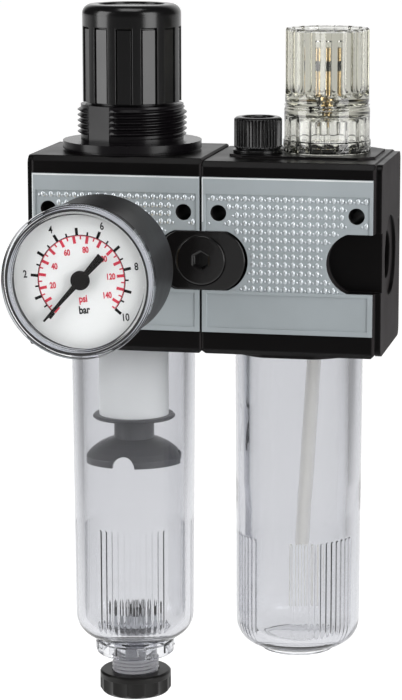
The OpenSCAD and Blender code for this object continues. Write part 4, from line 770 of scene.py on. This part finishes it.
DIAL_TURN, SCALE_START = 5.5, 225
DIAL_FACE = box_mm("gauge_dial")[0].y
SWEEP = 270.0
BAR_END, PSI_END = 10, 145.04
INK_LIFT, LETTER_LIFT = 0.04, 0.02
BAR_LINE, PSI_LINE = (11.5, 0.16), (11.3, 0.18)  # radius, width
BAR_TICKS = ((11.45, 13.4, 0.74), (11.45, 12.4, 0.42))  # from radius, to radius, width: whole, half
PSI_TICKS = ((9.4, 11.3, 0.75), (10.4, 11.3, 0.36))
BAR_FIGURE_R, PSI_FIGURE_R = 14.9, 7.75
FIGURE_BOLD, LABEL_BOLD = 0.00005, 0.00008  # metres


def dial_angle(share):
    return math.radians(SCALE_START + DIAL_TURN - SWEEP * share)


def dial_point(r, a):
    return GAUGE.x + r * math.cos(a), GAUGE.z + r * math.sin(a)


def printed(verts, faces, points):
    """A flat printed shape on the dial from its outline points (x, z)."""
    start, count = len(verts), len(points)
    for y in (DIAL_FACE - INK_LIFT, DIAL_FACE):
        verts.extend((x, y, z) for x, z in points)
    faces.append(tuple(start + k for k in range(count)))
    faces.append(tuple(start + count + k for k in reversed(range(count))))
    faces += band(start, start + count, count)


def tick(verts, faces, share, r0, r1, width):
    a = dial_angle(share)
    ux, uz = math.cos(a), math.sin(a)
    half = width / 2
    printed(verts, faces, [(GAUGE.x + r * ux - s * uz, GAUGE.z + r * uz + s * ux)
                           for r, s in ((r0, -half), (r1, -half), (r1, half), (r0, half))])


def dial_arc(verts, faces, r, width, steps=90):
    for i in range(steps):
        a0, a1 = dial_angle(i / steps), dial_angle((i + 1) / steps)
        low, high = r - width / 2, r + width / 2
        printed(verts, faces, [dial_point(low, a0), dial_point(high, a0), dial_point(high, a1), dial_point(low, a1)])


def add_letters(verts, faces, text, x, z, size, bold, narrow=0.78):
    """Generic lettering of the dial, turned with the dial."""
    curve = bpy.data.curves.new("letters", "FONT")
    curve.body = text
    curve.size = size * MM
    curve.align_x = "CENTER"
    curve.align_y = "CENTER"
    curve.offset = bold
    curve.extrude = LETTER_LIFT * MM
    holder = bpy.data.objects.new("letters", curve)
    bpy.context.scene.collection.objects.link(holder)
    bpy.context.view_layer.update()
    mesh = bpy.data.meshes.new_from_object(holder)
    turn = Matrix.Rotation(math.radians(DIAL_TURN), 4, "Z") @ Matrix.Diagonal((narrow, 1, 1, 1))
    start = len(verts)
    for v in mesh.vertices:
        p = turn @ v.co / MM
        verts.append((x + p.x, DIAL_FACE - LETTER_LIFT - p.z, z + p.y))
    faces.extend(tuple(start + k for k in p.vertices) for p in mesh.polygons)
    bpy.data.objects.remove(holder)
    bpy.data.curves.remove(curve)
    bpy.data.meshes.remove(mesh)


def bar_print():
    verts, faces = [], []
    dial_arc(verts, faces, *BAR_LINE)
    for i in range(BAR_END * 2 + 1):
        tick(verts, faces, i / (BAR_END * 2), *BAR_TICKS[i % 2])
    for value in range(2, BAR_END + 1, 2):
        x, z = dial_point(BAR_FIGURE_R, dial_angle(value / BAR_END))
        add_letters(verts, faces, str(value), x, z, 2.7, FIGURE_BOLD)
    add_letters(verts, faces, "bar", GAUGE.x + 0.7, GAUGE.z - 7.9, 2.8, LABEL_BOLD)
    mesh_object("dial_marks_black", verts, faces, ink, "housing", recalc=False)


def psi_print():
    verts, faces = [], []
    dial_arc(verts, faces, *PSI_LINE)
    for value in range(0, 146, 5):
        tick(verts, faces, value / PSI_END, *PSI_TICKS[value % 10 // 5])
    for value in range(20, 141, 20):
        x, z = dial_point(PSI_FIGURE_R, dial_angle(value / PSI_END))
        add_letters(verts, faces, str(value), x, z, 2.15, LABEL_BOLD, narrow=0.75)
    add_letters(verts, faces, "psi", GAUGE.x + 0.4, GAUGE.z - 5.0, 2.6, LABEL_BOLD)
    mesh_object("dial_marks_red", verts, faces, red, "housing", recalc=False)


bar_print()
psi_print()

# ---- Fine rings of the gauge ----

RING_STEPS = 96


def gauge_ring(name, radii, y0, y1, material):
    """A flat ring that faces the front, about the gauge's axis."""
    verts, faces = [], []
    corners = ((radii[0], y0), (radii[1], y0), (radii[1], y1), (radii[0], y1))
    for i in range(RING_STEPS):
        a = TURN * i / RING_STEPS
        verts.extend((GAUGE.x + r * math.cos(a), y, GAUGE.z + r * math.sin(a)) for r, y in corners)
        faces += band(i * 4, (i + 1) % RING_STEPS * 4, 4)
    mesh_object(name, verts, faces, material, "housing", smooth=30)


CASE_FRONT = box_mm("gauge_case")[0].y
WINDOW_FRONT = box_mm("gauge_window")[0].y
gauge_ring("dial_cup_edge", (18.3, 19.0), CASE_FRONT - 0.03, CASE_FRONT + 0.25, cup)
# A dark ring in the window rim's groove: painted shade in place of the dark line that the rim's refraction shows.
gauge_ring("window_painted_dark_line", (18.22, 18.78), WINDOW_FRONT + 0.14, WINDOW_FRONT + 0.3, case)

# ---- Painted highlights: bright strips along the faceplates' top and left edges ----

STRIP_LIFT, STRIP_SINK = 0.04, 0.2


# A thin bright strip that stands for the highlight on a plate's edge: painted highlight.
def edge_strip(name, x0, x1, z0, z1, front):
    corners = [(x, y, z) for y in (front - STRIP_LIFT, front + STRIP_SINK)
               for x, z in ((x0, z0), (x1, z0), (x1, z1), (x0, z1))]
    faces = [(0, 1, 2, 3), (7, 6, 5, 4)] + band(0, 4, 4)
    mesh_object(name, corners, faces, edge_highlight_paint, "housing")


for node in ("regulator_faceplate", "lubricator_faceplate"):
    low, high = box_mm(node)
    edge_strip(node + "_top_painted_highlight", low.x + 0.1, high.x - 0.1, high.z - 0.4, high.z - 0.05, low.y)
    edge_strip(node + "_left_painted_highlight", low.x + 0.05, low.x + 0.35, high.z - 12.0, high.z - 0.4, low.y)

# ---- Filler plug ----

PLUG_LOW, PLUG_TOP = heights_mm("filler_plug")
PLUG_HEAD = PLUG_TOP - 8.5
PLUG_R, PLUG_SHANK_R, PLUG_RING_R = 6.5, 4.62, radius_mm("filler_plug")
KNURLS, KNURL_DEPTH = 40, 0.5


def knurl(r, z, a, k):
    """V-shaped grip grooves that run out at both ends."""
    if r < PLUG_R - 0.1:
        return r
    across = abs(2 * ((KNURLS * a / TURN) % 1.0) - 1)
    fade = soft((z - PLUG_HEAD - 0.45) / 0.3) * soft((PLUG_TOP - 0.4 - z) / 0.5)
    return r - KNURL_DEPTH * (1 - across) * fade


plug_profile = [(0, PLUG_LOW), (4.3, PLUG_LOW), (PLUG_SHANK_R, PLUG_LOW + 0.4), (PLUG_SHANK_R, PLUG_HEAD - 1.2),
                (PLUG_RING_R, PLUG_HEAD - 1.2), (PLUG_RING_R, PLUG_HEAD - 0.4), (6.1, PLUG_HEAD),
                (PLUG_R, PLUG_HEAD + 0.4), (PLUG_R, PLUG_HEAD + 0.6), (PLUG_R, PLUG_HEAD + 0.8),
                (PLUG_R, PLUG_TOP - 1.0), (PLUG_R, PLUG_TOP - 0.75), (6.42, PLUG_TOP - 0.45),
                (6.1, PLUG_TOP - 0.15), (5.7, PLUG_TOP), (4.6, PLUG_TOP), (4.2, PLUG_TOP - 0.4),
                (4.2, PLUG_TOP - 1.0), (0, PLUG_TOP - 1.0)]
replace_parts(lathe("filler_plug_knurled", PLUG, plug_profile, KNURLS * 8, knob, "filler_plug",
                  mod=knurl, smooth=40), "filler_plug")

# ---- Camera and lights ----

CAMERA_PLACE = (190.66, -715.57, 109.23)
CAMERA_WAY = (-0.19072, 0.96433, -0.18357)
AIM = (0.047, 0, -0.03)

camera_data = bpy.data.cameras.new("camera")
camera = bpy.data.objects.new("camera", camera_data)
bpy.context.scene.collection.objects.link(camera)
camera.location = Vector(CAMERA_PLACE) * MM
camera.rotation_euler = Vector(CAMERA_WAY).to_track_quat("-Z", "Y").to_euler()
camera_data.sensor_width = 36
camera_data.lens = 138.04
camera_data.shift_x = -0.0301
camera_data.shift_y = -0.0055
camera_data.clip_start = 0.01
camera_data.clip_end = 20
bpy.context.scene.camera = camera


def area_light(name, place, size, power, size_y=None):
    """A white soft light aimed at the middle of the object; square unless size_y is given."""
    data = bpy.data.lights.new(name, "AREA")
    data.energy = power
    data.size = size
    if size_y:
        data.shape = "RECTANGLE"
        data.size_y = size_y
    light = bpy.data.objects.new(name, data)
    bpy.context.scene.collection.objects.link(light)
    light.location = place
    light.rotation_euler = (Vector(AIM) - Vector(place)).to_track_quat("-Z", "Y").to_euler()


area_light("softbox_left", (-0.66, -0.40, 0.12), 0.42, 6.3, size_y=0.9)
area_light("softbox_right", (0.72, -0.45, 0.12), 0.42, 6.6, size_y=0.9)
area_light("top", (0.05, -0.25, 0.85), 0.5, 3.2)

# Sky: bright behind the object, dark on the camera's side
world = bpy.data.worlds.new("world")
bpy.context.scene.world = world
world.use_nodes = True
sky = world.node_tree
background = sky.nodes["Background"]
background.inputs["Strength"].default_value = 1.0
sky_coord = sky.nodes.new("ShaderNodeTexCoord")
split = sky.nodes.new("ShaderNodeSeparateXYZ")
sky.links.new(sky_coord.outputs["Generated"], split.inputs["Vector"])
depth = map_range(sky, split.outputs["Y"], (0.58, 0.94), (0.04, 1.0), "SMOOTHSTEP")
sky.links.new(depth, background.inputs["Color"])

# ---- Floor ----

FLOOR_Z = -0.140
FLOOR_R = 6
DIM, BRIGHT = 0.3, 0.95
LANE_START, LANE_WAY, LANE_SIDE = (0.1907, -0.7156, 0), (-0.194, 0.981, 0), (0.981, 0.194, 0)
UNDER_OBJECT = (0, 0, 0)

floor_mesh = bpy.data.meshes.new("floor")
bm = bmesh.new()
bmesh.ops.create_circle(bm, cap_ends=True, radius=FLOOR_R, segments=64)
bm.to_mesh(floor_mesh)
bm.free()
floor = bpy.data.objects.new("floor", floor_mesh)
bpy.context.scene.collection.objects.link(floor)
floor.location.z = FLOOR_Z
floor_paint = finish_material("floor_white", (0.32, 0.32, 0.32), 0.9, grain=60, grain_height=0.0, spread=0.0)
floor_tree = floor_paint.node_tree
floor_bsdf = floor_tree.nodes["Principled BSDF"]
floor_bsdf.inputs["Emission Color"].default_value = (1, 1, 1, 1)
floor_point = floor_tree.nodes.new("ShaderNodeTexCoord").outputs["Object"]


def floor_dot(origin, axis):
    """Distance of a floor point from origin along axis."""
    away = operate(floor_tree, "ShaderNodeVectorMath", "SUBTRACT", (floor_point, origin))
    along = operate(floor_tree, "ShaderNodeVectorMath", "DOT_PRODUCT", (away.outputs["Vector"], axis))
    return along.outputs["Value"]


def floor_glow(source, source_range, glow_range):
    return map_range(floor_tree, source, source_range, glow_range, "SMOOTHSTEP")


# A bright lane runs away behind the object and the far floor behind is bright; the rest is pale grey
off_lane = math_node(floor_tree, "DIVIDE", math_node(floor_tree, "ABSOLUTE", floor_dot(LANE_START, LANE_SIDE)),
                     floor_dot(LANE_START, LANE_WAY))
behind = floor_dot(UNDER_OBJECT, LANE_WAY)
lane = math_node(floor_tree, "MINIMUM", floor_glow(off_lane, (0.11, 0.4), (BRIGHT, DIM)),
                 floor_glow(behind, (-0.25, 0.02), (DIM, BRIGHT)))
away_r = operate(floor_tree, "ShaderNodeVectorMath", "LENGTH", (floor_point,)).outputs["Value"]
far_back = math_node(floor_tree, "MINIMUM", floor_glow(away_r, (0.9, 2.2), (DIM, BRIGHT)),
                     floor_glow(behind, (0.3, 1.1), (DIM, BRIGHT)))
glow = math_node(floor_tree, "MAXIMUM", lane, far_back)
floor_tree.links.new(glow, floor_bsdf.inputs["Emission Strength"])
floor_mesh.materials.append(floor_paint)

bpy.context.scene.view_settings.view_transform = "Standard"
